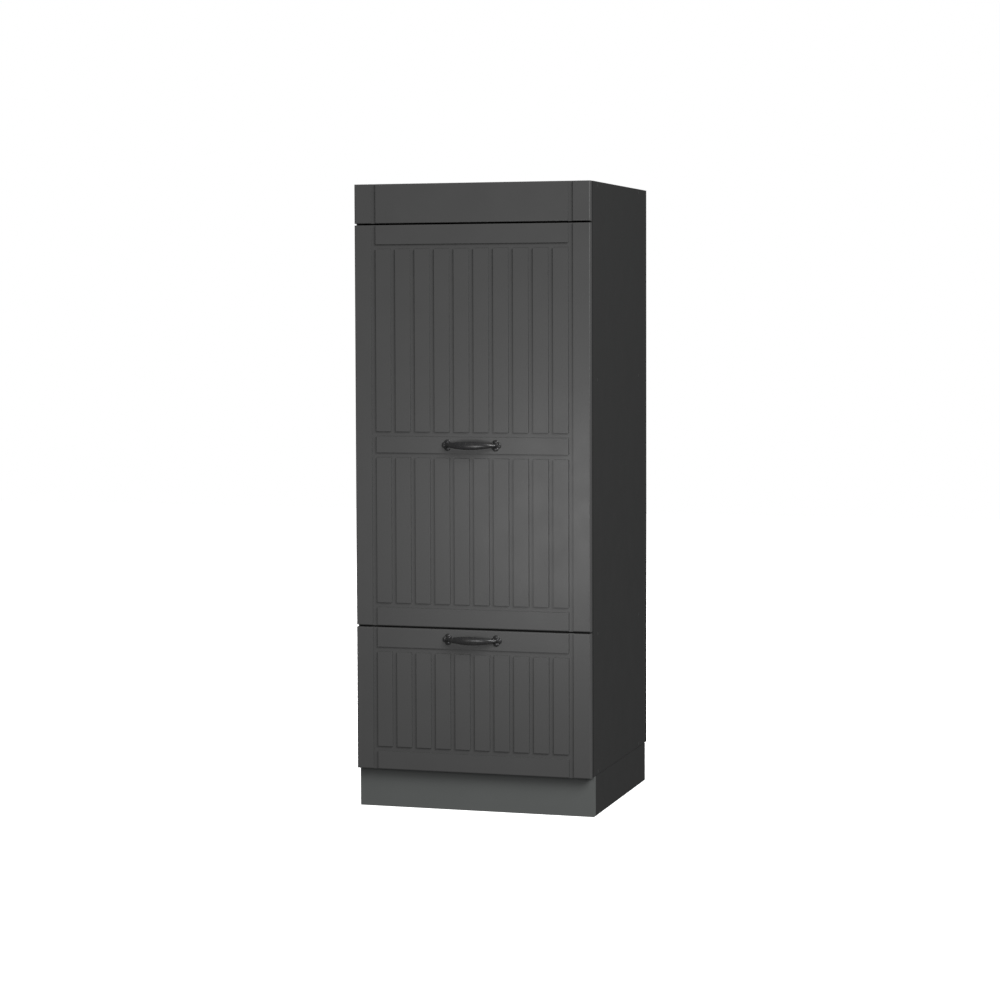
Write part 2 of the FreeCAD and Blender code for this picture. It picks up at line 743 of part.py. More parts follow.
LOOSE_SHELVES = {"loose_shelf_upper": "upper_pin_height", "loose_shelf_lower": "lower_pin_height"}
for label, pin_level in LOOSE_SHELVES.items():
    low = pin_level + " + pin_radius"
    keep(slab(label + "_board", ("shelf_play - inner_half", "inner_half - shelf_play"),
              (carcass_y("loose_shelf_setback"), "back_panel_front - shelf_play"),
              (low, low + " + board_thickness")), label)

back_block = slab("back_block", ("0 - inner_half - back_tongue", "inner_half + back_tongue"),
                  ("back_panel_front", "back_panel_front + back_thickness"),
                  ("bottom_board_top - back_tongue", "top_board_low + back_tongue"))
WALL_HOLE_START = "back_panel_front - bracket_sheet - overrun"
wall_holes = {
    hand: rod("wall_hole_" + SIDE_NAMES[hand], "Y",
              (WALL_BRACKET_X[hand], WALL_HOLE_START, "top_board_low - wall_hole_drop"),
              "wall_screw_radius", "bracket_sheet + back_thickness + 2 * overrun")
    for hand in (LEFT, RIGHT)
}
keep(cut("back_cut", back_block, list(wall_holes.values())), "back_panel")

keep(group("carcass_screw_group", fastenings[LEFT].screws + fastenings[RIGHT].screws), "carcass_screws")
keep(group("cap_group", fastenings[LEFT].caps + fastenings[RIGHT].caps), "screw_cover_caps")
keep(group("dowel_group", fastenings[LEFT].dowels + fastenings[RIGHT].dowels), "wood_dowels")
keep(group("pin_group", fastenings[LEFT].pins + fastenings[RIGHT].pins), "shelf_pins")

# --- fixed top panel with its angle brackets ---------------------------------------

top_panel = grooved_front("top_panel_body", "top_panel_low", "top_panel_height", [], [])
keep(cut("top_panel_cut", top_panel, bracket_front_holes[LEFT] + bracket_front_holes[RIGHT]), "top_panel")


def angle_bracket(name, first_leg, second_leg, holes):
    """Two legs made one, with screw holes."""
    return cut(name, join(name + "_blank", [first_leg, second_leg]), holes)


BRACKET_Z = (BRACKET_LEVEL + " - bracket_height / 2", BRACKET_LEVEL + " + bracket_height / 2")
panel_brackets = []
for hand in (LEFT, RIGHT):
    tag = SIDE_NAMES[hand]
    side_leg = slab("panel_bracket_side_" + tag, mirrored_span(hand, BRACKET_OUTER, "inner_half"),
                    ("front_back", "front_back + bracket_leg"), BRACKET_Z)
    front_leg = slab("panel_bracket_front_" + tag,
                     mirrored_span(hand, "inner_half - bracket_leg", "inner_half"),
                     ("front_back", "front_back + bracket_sheet"), BRACKET_Z)
    bore_start = mirrored_span(hand, BRACKET_OUTER + " - overrun", "inner_half + overrun")[0]
    clearances = []
    for height, lift in SCREW_LIFTS.items():
        clearances.append(rod("panel_bracket_x_%s_%s" % (tag, height), "X",
                              (bore_start, BRACKET_SCREW_Y, BRACKET_LEVEL + lift),
                              "small_screw_radius", "bracket_sheet + 2 * overrun"))
        clearances.append(rod("panel_bracket_y_%s_%s" % (tag, height), "Y",
                              (mirrored_x(hand, BRACKET_SCREW_X), "front_back - overrun",
                               BRACKET_LEVEL + lift),
                              "small_screw_radius", "bracket_sheet + 2 * overrun"))
    panel_brackets.append(angle_bracket("panel_bracket_" + tag, side_leg, front_leg, clearances))
keep(group("panel_bracket_group", panel_brackets), "top_panel_brackets")

wall_brackets = []
for hand in (LEFT, RIGHT):
    tag = SIDE_NAMES[hand]
    middle = WALL_BRACKET_X[hand]
    xs = (middle + " - wall_bracket_half_width", middle + " + wall_bracket_half_width")
    flat_leg = slab("wall_bracket_flat_" + tag, xs, ("back_panel_front - bracket_leg", "back_panel_front"),
                    ("top_board_low - bracket_sheet", "top_board_low"))
    upright_leg = slab("wall_bracket_upright_" + tag, xs,
                       ("back_panel_front - bracket_sheet", "back_panel_front"),
                       ("top_board_low - bracket_leg", "top_board_low"))
    holes = [wall_holes[hand]]
    for height, lift in SCREW_LIFTS.items():
        holes.append(rod("wall_bracket_hole_%s_%s" % (tag, height), "Z",
                         (middle + lift, WALL_BRACKET_SCREW_Y, "top_board_low - bracket_sheet - overrun"),
                         "small_screw_radius", "bracket_sheet + 2 * overrun"))
    wall_brackets.append(angle_bracket("wall_bracket_" + tag, flat_leg, upright_leg, holes))
keep(group("wall_bracket_group", wall_brackets), "wall_brackets")
keep(group("wood_screw_group", bracket_side_screws[LEFT] + bracket_side_screws[RIGHT]
           + bracket_front_screws[LEFT] + bracket_front_screws[RIGHT] + wall_bracket_screws
           + plate_screws + runner_screws[LEFT] + runner_screws[RIGHT] + leg_screws), "cabinet_wood_screws")

# --- handles -----------------------------------------------------------------------

BOW_STATIONS = 17
BOW_SWELL = 1.3
ROUND_LIMIT = 0.001


def bow_sections():
    """Sections of the bow handle: round feet on the rosettes, thickest in the middle.

    The centre line is half an ellipse, and each section across it is an ellipse.
    """
    half = size("handle_spacing") / 2
    foot = size("rosette_thickness")
    rise = size("handle_reach") - size("grip_half_thickness") - foot
    sections = []
    for station in range(BOW_STATIONS):
        turn = math.pi * station / (BOW_STATIONS - 1)
        swell = math.sin(turn) ** BOW_SWELL
        tall = size("grip_end_radius") + (size("grip_half_height") - size("grip_end_radius")) * swell
        thick = size("grip_end_radius") + (size("grip_half_thickness") - size("grip_end_radius")) * swell
        centre = FreeCAD.Vector(-half * math.cos(turn), -foot - rise * math.sin(turn), 0)
        along = FreeCAD.Vector(half * math.sin(turn), -rise * math.cos(turn), 0)
        across = along.cross(FreeCAD.Vector(0, 0, 1)).normalize()
        if tall - thick < ROUND_LIMIT:
            curve = Part.Circle(centre, along, thick)
        else:
            curve = Part.Ellipse(centre + FreeCAD.Vector(0, 0, tall), centre + across * thick, centre)
        sections.append(Part.Wire([curve.toShape()]))
    return sections


front_bores = {}
for label, level_name in (("door_handle", "door_handle_height"), ("drawer_handle", "drawer_handle_height")):
    blank = doc.addObject("Part::Feature", label + "_bow")
    blank.Shape = Part.makeLoft(bow_sections(), True, False)
    place(blank, ("0", "front_face", level_name))
    bores, screws, rosettes, rosette_bores = [], [], [], []
    for hand in (LEFT, RIGHT):
        tag = SIDE_NAMES[hand]
        x = mirrored_x(hand, "handle_spacing / 2")
        start = "front_face - rosette_thickness - handle_screw_bite"
        reach = "handle_screw_bite + rosette_thickness + front_thickness"
        bores.append(rod("%s_bore_%s" % (label, tag), "Y", (x, start + " - fastener_play", level_name),
                         "handle_screw_radius + fastener_play", reach + " + overrun"))
        shank = rod("%s_shank_%s" % (label, tag), "Y", (x, start, level_name), "handle_screw_radius", reach)
        head = rod("%s_head_%s" % (label, tag), "Y", (x, "front_back", level_name),
                   "handle_screw_head_radius", "handle_screw_head_height")
        screws.append(join("%s_screw_%s" % (label, tag), [shank, head]))
        rim = rod("%s_rim_%s" % (label, tag), "Y", (x, "front_face - rosette_rim", level_name),
                  "rosette_radius", "rosette_rim")
        dome = cone("%s_dome_%s" % (label, tag), "Y", (x, "front_face - rosette_thickness", level_name),
                    "rosette_radius - rosette_dome_inset", "rosette_radius",
                    "rosette_thickness - rosette_rim")
        rosette = join("%s_rosette_%s_blank" % (label, tag), [rim, dome])
        rosettes.append(cut("%s_rosette_%s" % (label, tag), rosette, [bores[-1]]))
    front_bores[label] = bores
    keep(cut(label + "_grip_cut", blank, bores), label + "_grip")
    keep(group(label + "_rosette_group", rosettes), label + "_rosettes")
    keep(group(label + "_screw_group", screws), label + "_screws")

# --- door with its concealed hinges ------------------------------------------------

MID_RAIL_TOP = "door_mid_rail_rise + door_mid_rail_height / 2"
MID_RAIL_BOTTOM = "door_mid_rail_rise - door_mid_rail_height / 2"
DOOR_TOP_GROOVE = "door_top - door_low - door_top_rail"
door_body = grooved_front(
    "door_body", "door_low", "door_top - door_low",
    [("door_bottom_rail", MID_RAIL_BOTTOM), (MID_RAIL_TOP, DOOR_TOP_GROOVE)],
    ["door_bottom_rail", MID_RAIL_BOTTOM, MID_RAIL_TOP, DOOR_TOP_GROOVE])

door_tools = list(front_bores["door_handle"])
all_cup_screws, hinge_pins = [], []
for place_name, level in HINGE_LEVELS.items():
    tag = "hinge_%s" % place_name
    cup_low = "front_back - cup_depth"
    door_tools.append(rod(tag + "_pocket", "Y", ("cup_x", cup_low + " - fastener_play", level),
                          "cup_radius + fastener_play", "cup_depth + overrun"))
    cup_seats = [("cup_plate_middle", "front_back + cup_plate_thickness", "%s + %d * cup_screw_spacing / 2"
                  % (level, sign)) for sign in (-1, 1)]
    cup_screws, cup_holes = small_screws(tag + "_cup_screw", "Y", -1, cup_seats)
    all_cup_screws += cup_screws
    door_tools += cup_holes
    shell = rod(tag + "_shell", "Y", ("cup_x", cup_low, level), "cup_radius",
                "cup_depth + cup_plate_thickness")
    wings = box(tag + "_wings", ("cup_plate_middle - cup_plate_width / 2", "front_back",
                                 "%s - cup_plate_length / 2" % level),
                ("cup_plate_width", "cup_plate_thickness", "cup_plate_length"))
    hollow = rod(tag + "_hollow", "Y", ("cup_x", cup_low + " + cup_wall", level), "cup_radius - cup_wall",
                 "cup_depth + cup_plate_thickness + overrun")
    bore_start = ("hinge_x", "hinge_y", "%s - hinge_bore_half_length" % level)
    pin_bore = rod(tag + "_pin_bore", "Z", bore_start, "hinge_pin_radius", "hinge_bore_half_length * 2")
    keep(cut(tag + "_cup_cut", join(tag + "_cup_blank", [shell, wings]), [hollow, pin_bore] + cup_holes),
         "hinge_cup_" + place_name)
    hinge_pins.append(rod(tag + "_pin", "Z", ("hinge_x", "hinge_y", "%s - hinge_pin_half_length" % level),
                          "hinge_pin_radius", "hinge_pin_half_length * 2"))

    link_z = ("%s - hinge_link_width / 2" % level, "%s + hinge_link_width / 2" % level)
    eye = rod(tag + "_eye", "Z", ("hinge_x", "hinge_y", link_z[0]), "hinge_eye_radius", "hinge_link_width")
    link_across = slab(tag + "_link_across",
                       ("hinge_x", "hinge_x + hinge_link_reach + hinge_link_thickness / 2"),
                       ("hinge_y - hinge_link_thickness / 2", "hinge_y + hinge_link_thickness / 2"), link_z)
    link_back = slab(tag + "_link_back", ("hinge_x + hinge_link_reach - hinge_link_thickness / 2",
                                          "hinge_x + hinge_link_reach + hinge_link_thickness / 2"),
                     ("hinge_y - hinge_link_thickness / 2", carcass_y("arm_hook_depth")), link_z)
    arm_low_x = "plate_thickness + plate_boss_height - inner_half"
    arm_bar = slab(tag + "_arm_bar", (arm_low_x, arm_low_x + " + arm_thickness"),
                   (carcass_y("arm_setback"), carcass_y("arm_setback + arm_length")),
                   ("%s - arm_width / 2" % level, "%s + arm_width / 2" % level))
    eye_bore = rod(tag + "_eye_bore", "Z", bore_start, "hinge_pin_radius + hinge_pin_play",
                   "hinge_bore_half_length * 2")
    keep(cut(tag + "_arm_cut", join(tag + "_arm_blank", [eye, link_across, link_back, arm_bar]), [eye_bore]),
         "hinge_arm_" + place_name)

    plate_ys = (carcass_y("plate_screw_offset - plate_front_margin"),
                carcass_y("plate_screw_offset + plate_rear_margin"))
    base = slab(tag + "_base", ("0 - inner_half", PLATE_SEAT), plate_ys,
                ("%s - plate_screw_spacing / 2 - plate_end_margin" % level,
                 "%s + plate_screw_spacing / 2 + plate_end_margin" % level))
    boss = slab(tag + "_boss", ("0 - inner_half", arm_low_x), plate_ys,
                ("%s - arm_width / 2" % level, "%s + arm_width / 2" % level))
    plate_bores = [
        rod("%s_plate_bore_%d" % (tag, sign + 1), "X",
            ("0 - inner_half - overrun", carcass_y("plate_screw_offset"),
             "%s + %d * plate_screw_spacing / 2" % (level, sign)),
            "small_screw_radius", "plate_thickness + 2 * overrun")
        for sign in (-1, 1)
    ]
    keep(cut(tag + "_plate_cut", join(tag + "_plate_blank", [base, boss]), plate_bores),
         "hinge_plate_" + place_name)

keep(cut("door_cut", door_body, door_tools), "door_panel")
keep(group("hinge_pin_group", hinge_pins), "hinge_pins")
keep(group("cup_screw_group", all_cup_screws), "hinge_cup_screws")


def bumper(name, x, level):
    """Soft stop on the back of a front."""
    return rod(name, "Y", (x, "front_back", level), "bumper_radius", "bumper_height")


EDGE_MIDDLE = "half_width - side_thickness / 2"
keep(group("door_bumper_group", [
    bumper("door_bumper_low", EDGE_MIDDLE, "door_low + bumper_end_distance"),
    bumper("door_bumper_high", EDGE_MIDDLE, "door_top - bumper_end_distance"),
]), "door_bumpers")

# --- drawer ------------------------------------------------------------------------

DRAWER_TOP_GROOVE = "drawer_front_height - drawer_top_rail"
drawer_body = grooved_front("drawer_body", "drawer_front_low", "drawer_front_height",
                            [("drawer_bottom_rail", DRAWER_TOP_GROOVE)],
                            ["drawer_bottom_rail", DRAWER_TOP_GROOVE])
front_screw_seats = [
    ("%d * (box_inner_half - front_screw_inset)" % sign, "front_back + drawer_wall", "box_low + " + rise)
    for sign in (-1, 1)
    for rise in ("front_screw_margin", "drawer_box_height - front_screw_margin")
]
front_screws, front_screw_holes = [], []
for number, seat in enumerate(front_screw_seats):
    name = "front_screw_%d" % number
    shank = ("small_screw_radius", "drawer_wall + front_screw_bite")
    front_screws.append(headed_screw(name, "Y", -1, seat, shank, SMALL_HEAD))
    front_screw_holes.append(screw_hole(name + "_hole", "Y", -1, seat,
                                        "small_screw_radius + fastener_play", shank[1]))
keep(cut("drawer_front_cut", drawer_body, front_bores["drawer_handle"] + front_screw_holes), "drawer_front")

BOX_Z = ("box_low", "box_low + drawer_box_height")
BOTTOM_LEVEL = "box_low + drawer_bottom_rise"
bottom_slot_tool = slab("drawer_slot", ("0 - box_inner_half - drawer_tongue - groove_play",
                                        "box_inner_half + drawer_tongue + groove_play"),
                        ("front_back + drawer_wall - drawer_tongue - groove_play",
                         "box_back - drawer_wall + drawer_tongue + groove_play"),
                        (BOTTOM_LEVEL, BOTTOM_LEVEL + " + drawer_bottom_thickness + groove_play"))
corner_screws, corner_holes = [], {LEFT: [], RIGHT: []}
for hand in (LEFT, RIGHT):
    for end_number, end_y in enumerate(("front_back + drawer_wall / 2", "box_back - drawer_wall / 2")):
        for rise_number, rise in enumerate(("corner_screw_rise", "drawer_box_height - corner_screw_drop")):
            name = "corner_screw_%s_%d_%d" % (SIDE_NAMES[hand], end_number, rise_number)
            seat = (mirrored_x(hand, "box_half"), end_y, "box_low + " + rise)
            shank = ("small_screw_radius", "drawer_wall + corner_screw_bite")
            corner_screws.append(headed_screw(name, "X", -hand, seat, shank,
                                              ("small_head_radius", "corner_head_height")))
            corner_holes[hand].append(screw_hole(name + "_hole", "X", -hand, seat,
                                                 "small_screw_radius + fastener_play", shank[1]))
for hand in (LEFT, RIGHT):
    tag = SIDE_NAMES[hand]
    wall = slab("drawer_wall_block_" + tag, mirrored_span(hand, "box_inner_half", "box_half"),
                ("front_back", "box_back"), BOX_Z)
    wall_tools = drawer_side_holes[hand] + corner_holes[hand] + [bottom_slot_tool]
    keep(cut("drawer_wall_cut_" + tag, wall, wall_tools), "drawer_side_" + tag)
end_holes = corner_holes[LEFT] + corner_holes[RIGHT]
inner_front = slab("inner_front_block", ("0 - box_inner_half", "box_inner_half"),
                   ("front_back", "front_back + drawer_wall"), BOX_Z)
inner_front_tools = front_screw_holes + end_holes + [bottom_slot_tool]
keep(cut("inner_front_cut", inner_front, inner_front_tools), "drawer_inner_front")
box_rear = slab("drawer_back_block", ("0 - box_inner_half", "box_inner_half"),
                ("box_back - drawer_wall", "box_back"), BOX_Z)
keep(cut("drawer_back_cut", box_rear, end_holes + [bottom_slot_tool]), "drawer_back")
keep(slab("drawer_bottom_block", ("0 - box_inner_half - drawer_tongue", "box_inner_half + drawer_tongue"),
          ("front_back + drawer_wall - drawer_tongue", "box_back - drawer_wall + drawer_tongue"),
          (BOTTOM_LEVEL, BOTTOM_LEVEL + " + drawer_bottom_thickness")), "drawer_bottom")
keep(group("front_screw_group", front_screws), "drawer_front_screws")
keep(group("corner_screw_group", corner_screws), "drawer_corner_screws")
keep(group("drawer_bumper_group", [
    bumper("drawer_bumper_" + SIDE_NAMES[hand], mirrored_x(hand, EDGE_MIDDLE),
           "drawer_front_top - bumper_end_distance")
    for hand in (LEFT, RIGHT)
]), "drawer_bumpers")


def runner_x(hand, near, far):
    """Span along X between two distances from the side panel's inner face."""
    return mirrored_span(hand, "inner_half - (%s)" % far, "inner_half - (%s)" % near)


def channel(name, hand, web_start, lips, half_height, holes):
    """Rolled channel along Y: an upright web and two lips, at distances from the side panel."""
    web_xs = runner_x(hand, web_start, "%s + runner_sheet" % web_start)
    lip_xs = runner_x(hand, *lips)
    ys = ("runner_front", "runner_front + runner_length")
    upright = slab(name + "_web", web_xs, ys,
                   ("runner_middle - (%s)" % half_height, "runner_middle + (%s)" % half_height))
    upper = slab(name + "_upper", lip_xs, ys,
                 ("runner_middle + (%s) - runner_sheet" % half_height, "runner_middle + (%s)" % half_height))
    lower = slab(name + "_lower", lip_xs, ys,
                 ("runner_middle - (%s)" % half_height, "runner_middle - (%s) + runner_sheet" % half_height))
    blank = join(name + "_blank", [upright, upper, lower])
    return cut(name, blank, holes) if holes else blank


def sphere(name, centre, radius):
    """Ball about a point."""
    ball = doc.addObject("Part::Sphere", name)
    bind(ball, "Radius", radius)
    place(ball, centre)
    return ball


BALLS_PER_ROW = 8
INNER_WEB_START = "runner_thickness - runner_sheet"
for hand in (LEFT, RIGHT):
    tag = SIDE_NAMES[hand]
    keep(channel("outer_member_" + tag, hand, "0", ("0", "outer_lip_end"), "runner_height / 2",
                 runner_side_holes[hand]), "runner_outer_" + tag)
    keep(channel("middle_member_" + tag, hand, "middle_web_start", ("middle_web_start", "middle_lip_end"),
                 "middle_half", []), "runner_middle_" + tag)
    keep(channel("inner_member_" + tag, hand, INNER_WEB_START, ("inner_lip_start", INNER_WEB_START),
                 "inner_member_half", drawer_side_holes[hand]), "runner_inner_" + tag)
    balls = []
    races = (
        ("outer", "outer_ball_distance", "middle_half + runner_ball_gap / 2",
         "runner_length - ball_end_distance - ball_pitch * "),
        ("inner", "inner_ball_distance", "inner_member_half + runner_ball_gap / 2",
         "ball_end_distance + ball_pitch * "),
    )
    for race, distance, height, start in races:
        for direction in (-1, 1):
            for number in range(BALLS_PER_ROW):
                balls.append(sphere("ball_%s_%s_%d_%d" % (tag, race, direction + 1, number), (
                    mirrored_x(hand, "inner_half - " + distance), "runner_front + " + start + str(number),
                    "runner_middle + %d * (%s)" % (direction, height)), "ball_radius"))
    keep(group("ball_group_" + tag, balls), "runner_balls_" + tag)
keep(group("slide_screw_group", drawer_runner_screws[LEFT] + drawer_runner_screws[RIGHT]),
     "runner_drawer_screws")

# --- plinth and legs ---------------------------------------------------------------

keep(slab("plinth_front_board", ("0 - half_width", "half_width"),
          ("plinth_front", "plinth_front + plinth_board"), ("0", "plinth_top")), "plinth_front")
for hand in (LEFT, RIGHT):
    tag = SIDE_NAMES[hand]
    keep(slab("plinth_board_" + tag, mirrored_span(hand, "half_width - plinth_board", "half_width"),
              ("plinth_front + plinth_board", "plinth_back"), ("0", "plinth_top")), "plinth_" + tag)

sockets, feet = [], []
for name, (x, y) in leg_places.items():
    flange_low = "plinth_height - socket_flange_height"
    tube_low = "plinth_height - socket_length"
    flange = rod("socket_flange_" + name, "Z", (x, y, flange_low),
                 "socket_flange_radius", "socket_flange_height")
    tube = rod("socket_tube_" + name, "Z", (x, y, tube_low), "socket_radius", "socket_length")
    stem_bore = rod("socket_bore_" + name, "Z", (x, y, tube_low + " - overrun"), "stem_radius + stem_play",
                    "socket_length - socket_flange_height + overrun")
    screw_bores = [
        rod("socket_hole_%s_%d" % (name, sign + 1), "Z",
            (x, "%s + %d * leg_screw_distance" % (y, sign), flange_low + " - overrun"),
            "small_screw_radius", "socket_flange_height + 2 * overrun")
        for sign in (-1, 1)
    ]
    blank = join("socket_blank_" + name, [flange, tube])
    sockets.append(cut("socket_" + name, blank, [stem_bore] + screw_bores))
    base = rod("foot_base_" + name, "Z", (x, y, "0"), "foot_radius", "foot_base_height")
    skirt = cone("foot_skirt_" + name, "Z", (x, y, "foot_base_height"), "foot_radius - foot_skirt_inset",
                 "stem_radius + foot_skirt_collar", "foot_skirt_height")
    stem = rod("foot_stem_" + name, "Z", (x, y, "0"), "stem_radius", "plinth_height - socket_flange_height")
    feet.append(join("foot_" + name, [base, skirt, stem]))
keep(group("socket_group", sockets), "leg_sockets")
keep(group("feet_group", feet), "levelling_feet")

CLIP_RING = "socket_radius + clip_wall"


def around(middle, half):
    """Span of two formulas about a middle."""
    return ("%s - %s" % (middle, half), "%s + %s" % (middle, half))


def plinth_clip(name, centre, towards):
    """Spring clip round a leg socket with a plate against a plinth board."""
    x, y = centre
    ring = rod(name + "_ring", "Z", (x, y, "clip_rise"), CLIP_RING, "clip_height")
    core = rod(name + "_core", "Z", (x, y, "clip_rise - overrun"), "socket_radius + clip_play",
               "clip_height + 2 * overrun")
    zs = ("clip_rise", "clip_rise + clip_height")
    mouth_zs = ("clip_rise - overrun", "clip_rise + clip_height + overrun")
    if towards == "front":
        board = "%s - leg_to_plinth" % y
        neck = slab(name + "_neck", around(x, "clip_neck_half_width"), (board, "%s - socket_radius" % y), zs)
        plate = slab(name + "_plate", around(x, "clip_plate_half_width"), (board, board + " + clip_wall"), zs)
        mouth = slab(name + "_mouth", around(x, "clip_mouth_half_width"),
                     (y, "%s + clip_mouth_reach" % y), mouth_zs)
    else:
        sign = 1 if towards == "right" else -1
        board, near = "%s + %d * leg_to_plinth" % (x, sign), "%s + %d * socket_radius" % (x, sign)
        pairs = [(near, board), ("%s - %d * clip_wall" % (board, sign), board),
                 ("%s - %d * clip_mouth_reach" % (x, sign), x)]
        spans = [pair if sign > 0 else pair[::-1] for pair in pairs]
        neck = slab(name + "_neck", spans[0], around(y, "clip_neck_half_width"), zs)
        plate = slab(name + "_plate", spans[1], around(y, "clip_plate_half_width"), zs)
        mouth = slab(name + "_mouth", spans[2], around(y, "clip_mouth_half_width"), mouth_zs)
    return cut(name, join(name + "_blank", [ring, neck, plate]), [core, mouth])


keep(group("clip_group", [
    plinth_clip("clip_front_left", leg_places["front_left"], "front"),
    plinth_clip("clip_front_right", leg_places["front_right"], "front"),
    plinth_clip("clip_rear_left", leg_places["rear_left"], "left"),
    plinth_clip("clip_rear_right", leg_places["rear_right"], "right"),
]), "plinth_clips")

# --- write every sub-part -----------------------------------------------------------

doc.recompute()
faults = [item.Label for item in doc.Objects if "Invalid" in item.State or "Error" in item.State]
faults += [part.Label for part in parts if part.Shape.isNull() or not part.Shape.isValid()]
if faults:
    raise RuntimeError("failed objects: " + ", ".join(faults))

os.makedirs("parts", exist_ok=True)
for part in parts:
    part.Shape.exportStep("parts/%s.step" % part.Label)
    print("%-26s solids %3d  volume %.1f" % (part.Label, len(part.Shape.Solids), part.Shape.Volume))
print("sub-parts:", len(parts))
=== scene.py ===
import logging
import math
from collections.abc import Callable, Iterable, Sequence
from dataclasses import dataclass, field
from enum import Enum
from functools import partial, reduce

import bmesh
import bpy
from mathutils import Matrix, Vector


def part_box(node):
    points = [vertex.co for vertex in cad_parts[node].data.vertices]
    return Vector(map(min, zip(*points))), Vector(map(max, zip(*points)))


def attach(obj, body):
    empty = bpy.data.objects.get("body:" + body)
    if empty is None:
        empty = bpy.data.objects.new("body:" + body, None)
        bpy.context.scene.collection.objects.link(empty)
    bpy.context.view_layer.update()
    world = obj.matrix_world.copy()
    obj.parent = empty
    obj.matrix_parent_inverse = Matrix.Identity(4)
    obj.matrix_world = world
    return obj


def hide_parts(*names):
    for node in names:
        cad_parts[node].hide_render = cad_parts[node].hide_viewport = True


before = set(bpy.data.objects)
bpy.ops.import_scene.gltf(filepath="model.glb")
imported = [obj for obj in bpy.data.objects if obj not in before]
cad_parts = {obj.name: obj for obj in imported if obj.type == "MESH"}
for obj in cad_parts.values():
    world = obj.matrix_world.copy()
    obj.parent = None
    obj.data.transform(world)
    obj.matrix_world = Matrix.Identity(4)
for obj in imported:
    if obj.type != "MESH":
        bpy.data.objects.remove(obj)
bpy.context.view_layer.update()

log = logging.getLogger("pantry_cabinet")

MM = 0.001
FULL_TURN = 2 * math.pi
RING_POINTS = 32
# Gaps in metres under which two points are one: of a CAD mesh, a milled front and a turned or swept shape.
CAD_MERGE_GAP = 2e-6
MILLED_MERGE_GAP = 1e-6
SHAPED_MERGE_GAP = 1e-7
# How near a solid's end a point counts as on it, and how much wider the head's end has to be.
END_SLICE = 0.2 * MM
HEAD_LEAD = 0.1 * MM
TINY = 1e-9
SHARP_ANGLE = 32.0
AREA_WEIGHT = 100
CROSS_GROOVES = 4
GRID_DIGITS = 7
FACE_SLACK = 0.01 * MM
POCKET_POINTS = 64
NOISE_SPAN = (0.3, 0.7)

Point = tuple[float, float, float]
Colour = tuple[float, float, float]
Profile = tuple[tuple[float, float], ...]
Socket = bpy.types.NodeSocket
Mesh = bpy.types.Mesh
Thing = bpy.types.Object
Material = bpy.types.Material


class Body(Enum):
    """Moving bodies of the cabinet."""

    CABINET = "cabinet"
    DOOR = "door"
    DRAWER = "drawer"
    RUNNER_MIDDLE = "runner_middle"


class Slot(Enum):
    """Material slots of the record, one for each finish."""

    FRONT = "front_lacquer"
    CARCASS = "carcass_board"
    BACK = "back_board"
    DRAWER = "drawer_board"
    PLINTH = "plinth_foil"
    HANDLE = "handle_metal"
    NICKEL = "nickel_steel"
    ZINC = "zinc_steel"
    BALL = "ball_steel"
    CAP = "cap_plastic"
    BUMPER = "clear_bumper"
    LEG = "leg_plastic"
    DOWEL = "dowel_wood"


class Aim(Enum):
    """Which extent of a turned piece is its own axis."""

    LONGEST = "longest"
    SHORTEST = "shortest"


# Node trees


class NodePen:
    """Short calls for writing a node tree."""

    def __init__(self, tree: bpy.types.NodeTree) -> None:
        """Keep the shader or Geometry Nodes tree that the pen writes."""
        self.tree = tree

    def feed(self, socket: Socket, value: object) -> None:
        """Link a socket, or set its constant.

        Args:
            socket: The input that takes the value.
            value: Another node's output, or a plain constant.
        """
        if isinstance(value, Socket):
            self.tree.links.new(value, socket)
        elif value is not None:
            socket.default_value = value

    def node(self, kind: str, inputs: dict[str | int, object] | None = None,
             **settings: object) -> bpy.types.Node:
        """Add a node.

        Args:
            kind: The node's type name.
            inputs: Constants or outputs for its inputs, by socket name or number.
            settings: The node's own properties.

        Returns:
            The new node.
        """
        made = self.tree.nodes.new(kind)
        for key, setting in settings.items():
            setattr(made, key, setting)
        for key, value in (inputs or {}).items():
            self.feed(made.inputs[key], value)
        return made

    def math(self, operation: str, *values: object) -> Socket:
        """Result of a Math node."""
        return self.node("ShaderNodeMath", dict(enumerate(values)), operation=operation).outputs[0]

    def fold(self, operation: str, values: Sequence[object]) -> Socket:
        """Result of one two-operand operation over several values."""
        return reduce(partial(self.math, operation), values)

    def remap(self, value: object, source: tuple[object, object], target: tuple[object, object],
              curve: str = "LINEAR") -> Socket:
        """Value moved from the source range to the target range, and kept inside it."""
        return self.node("ShaderNodeMapRange", dict(enumerate((value, *source, *target))),
                         interpolation_type=curve, clamp=True).outputs[0]


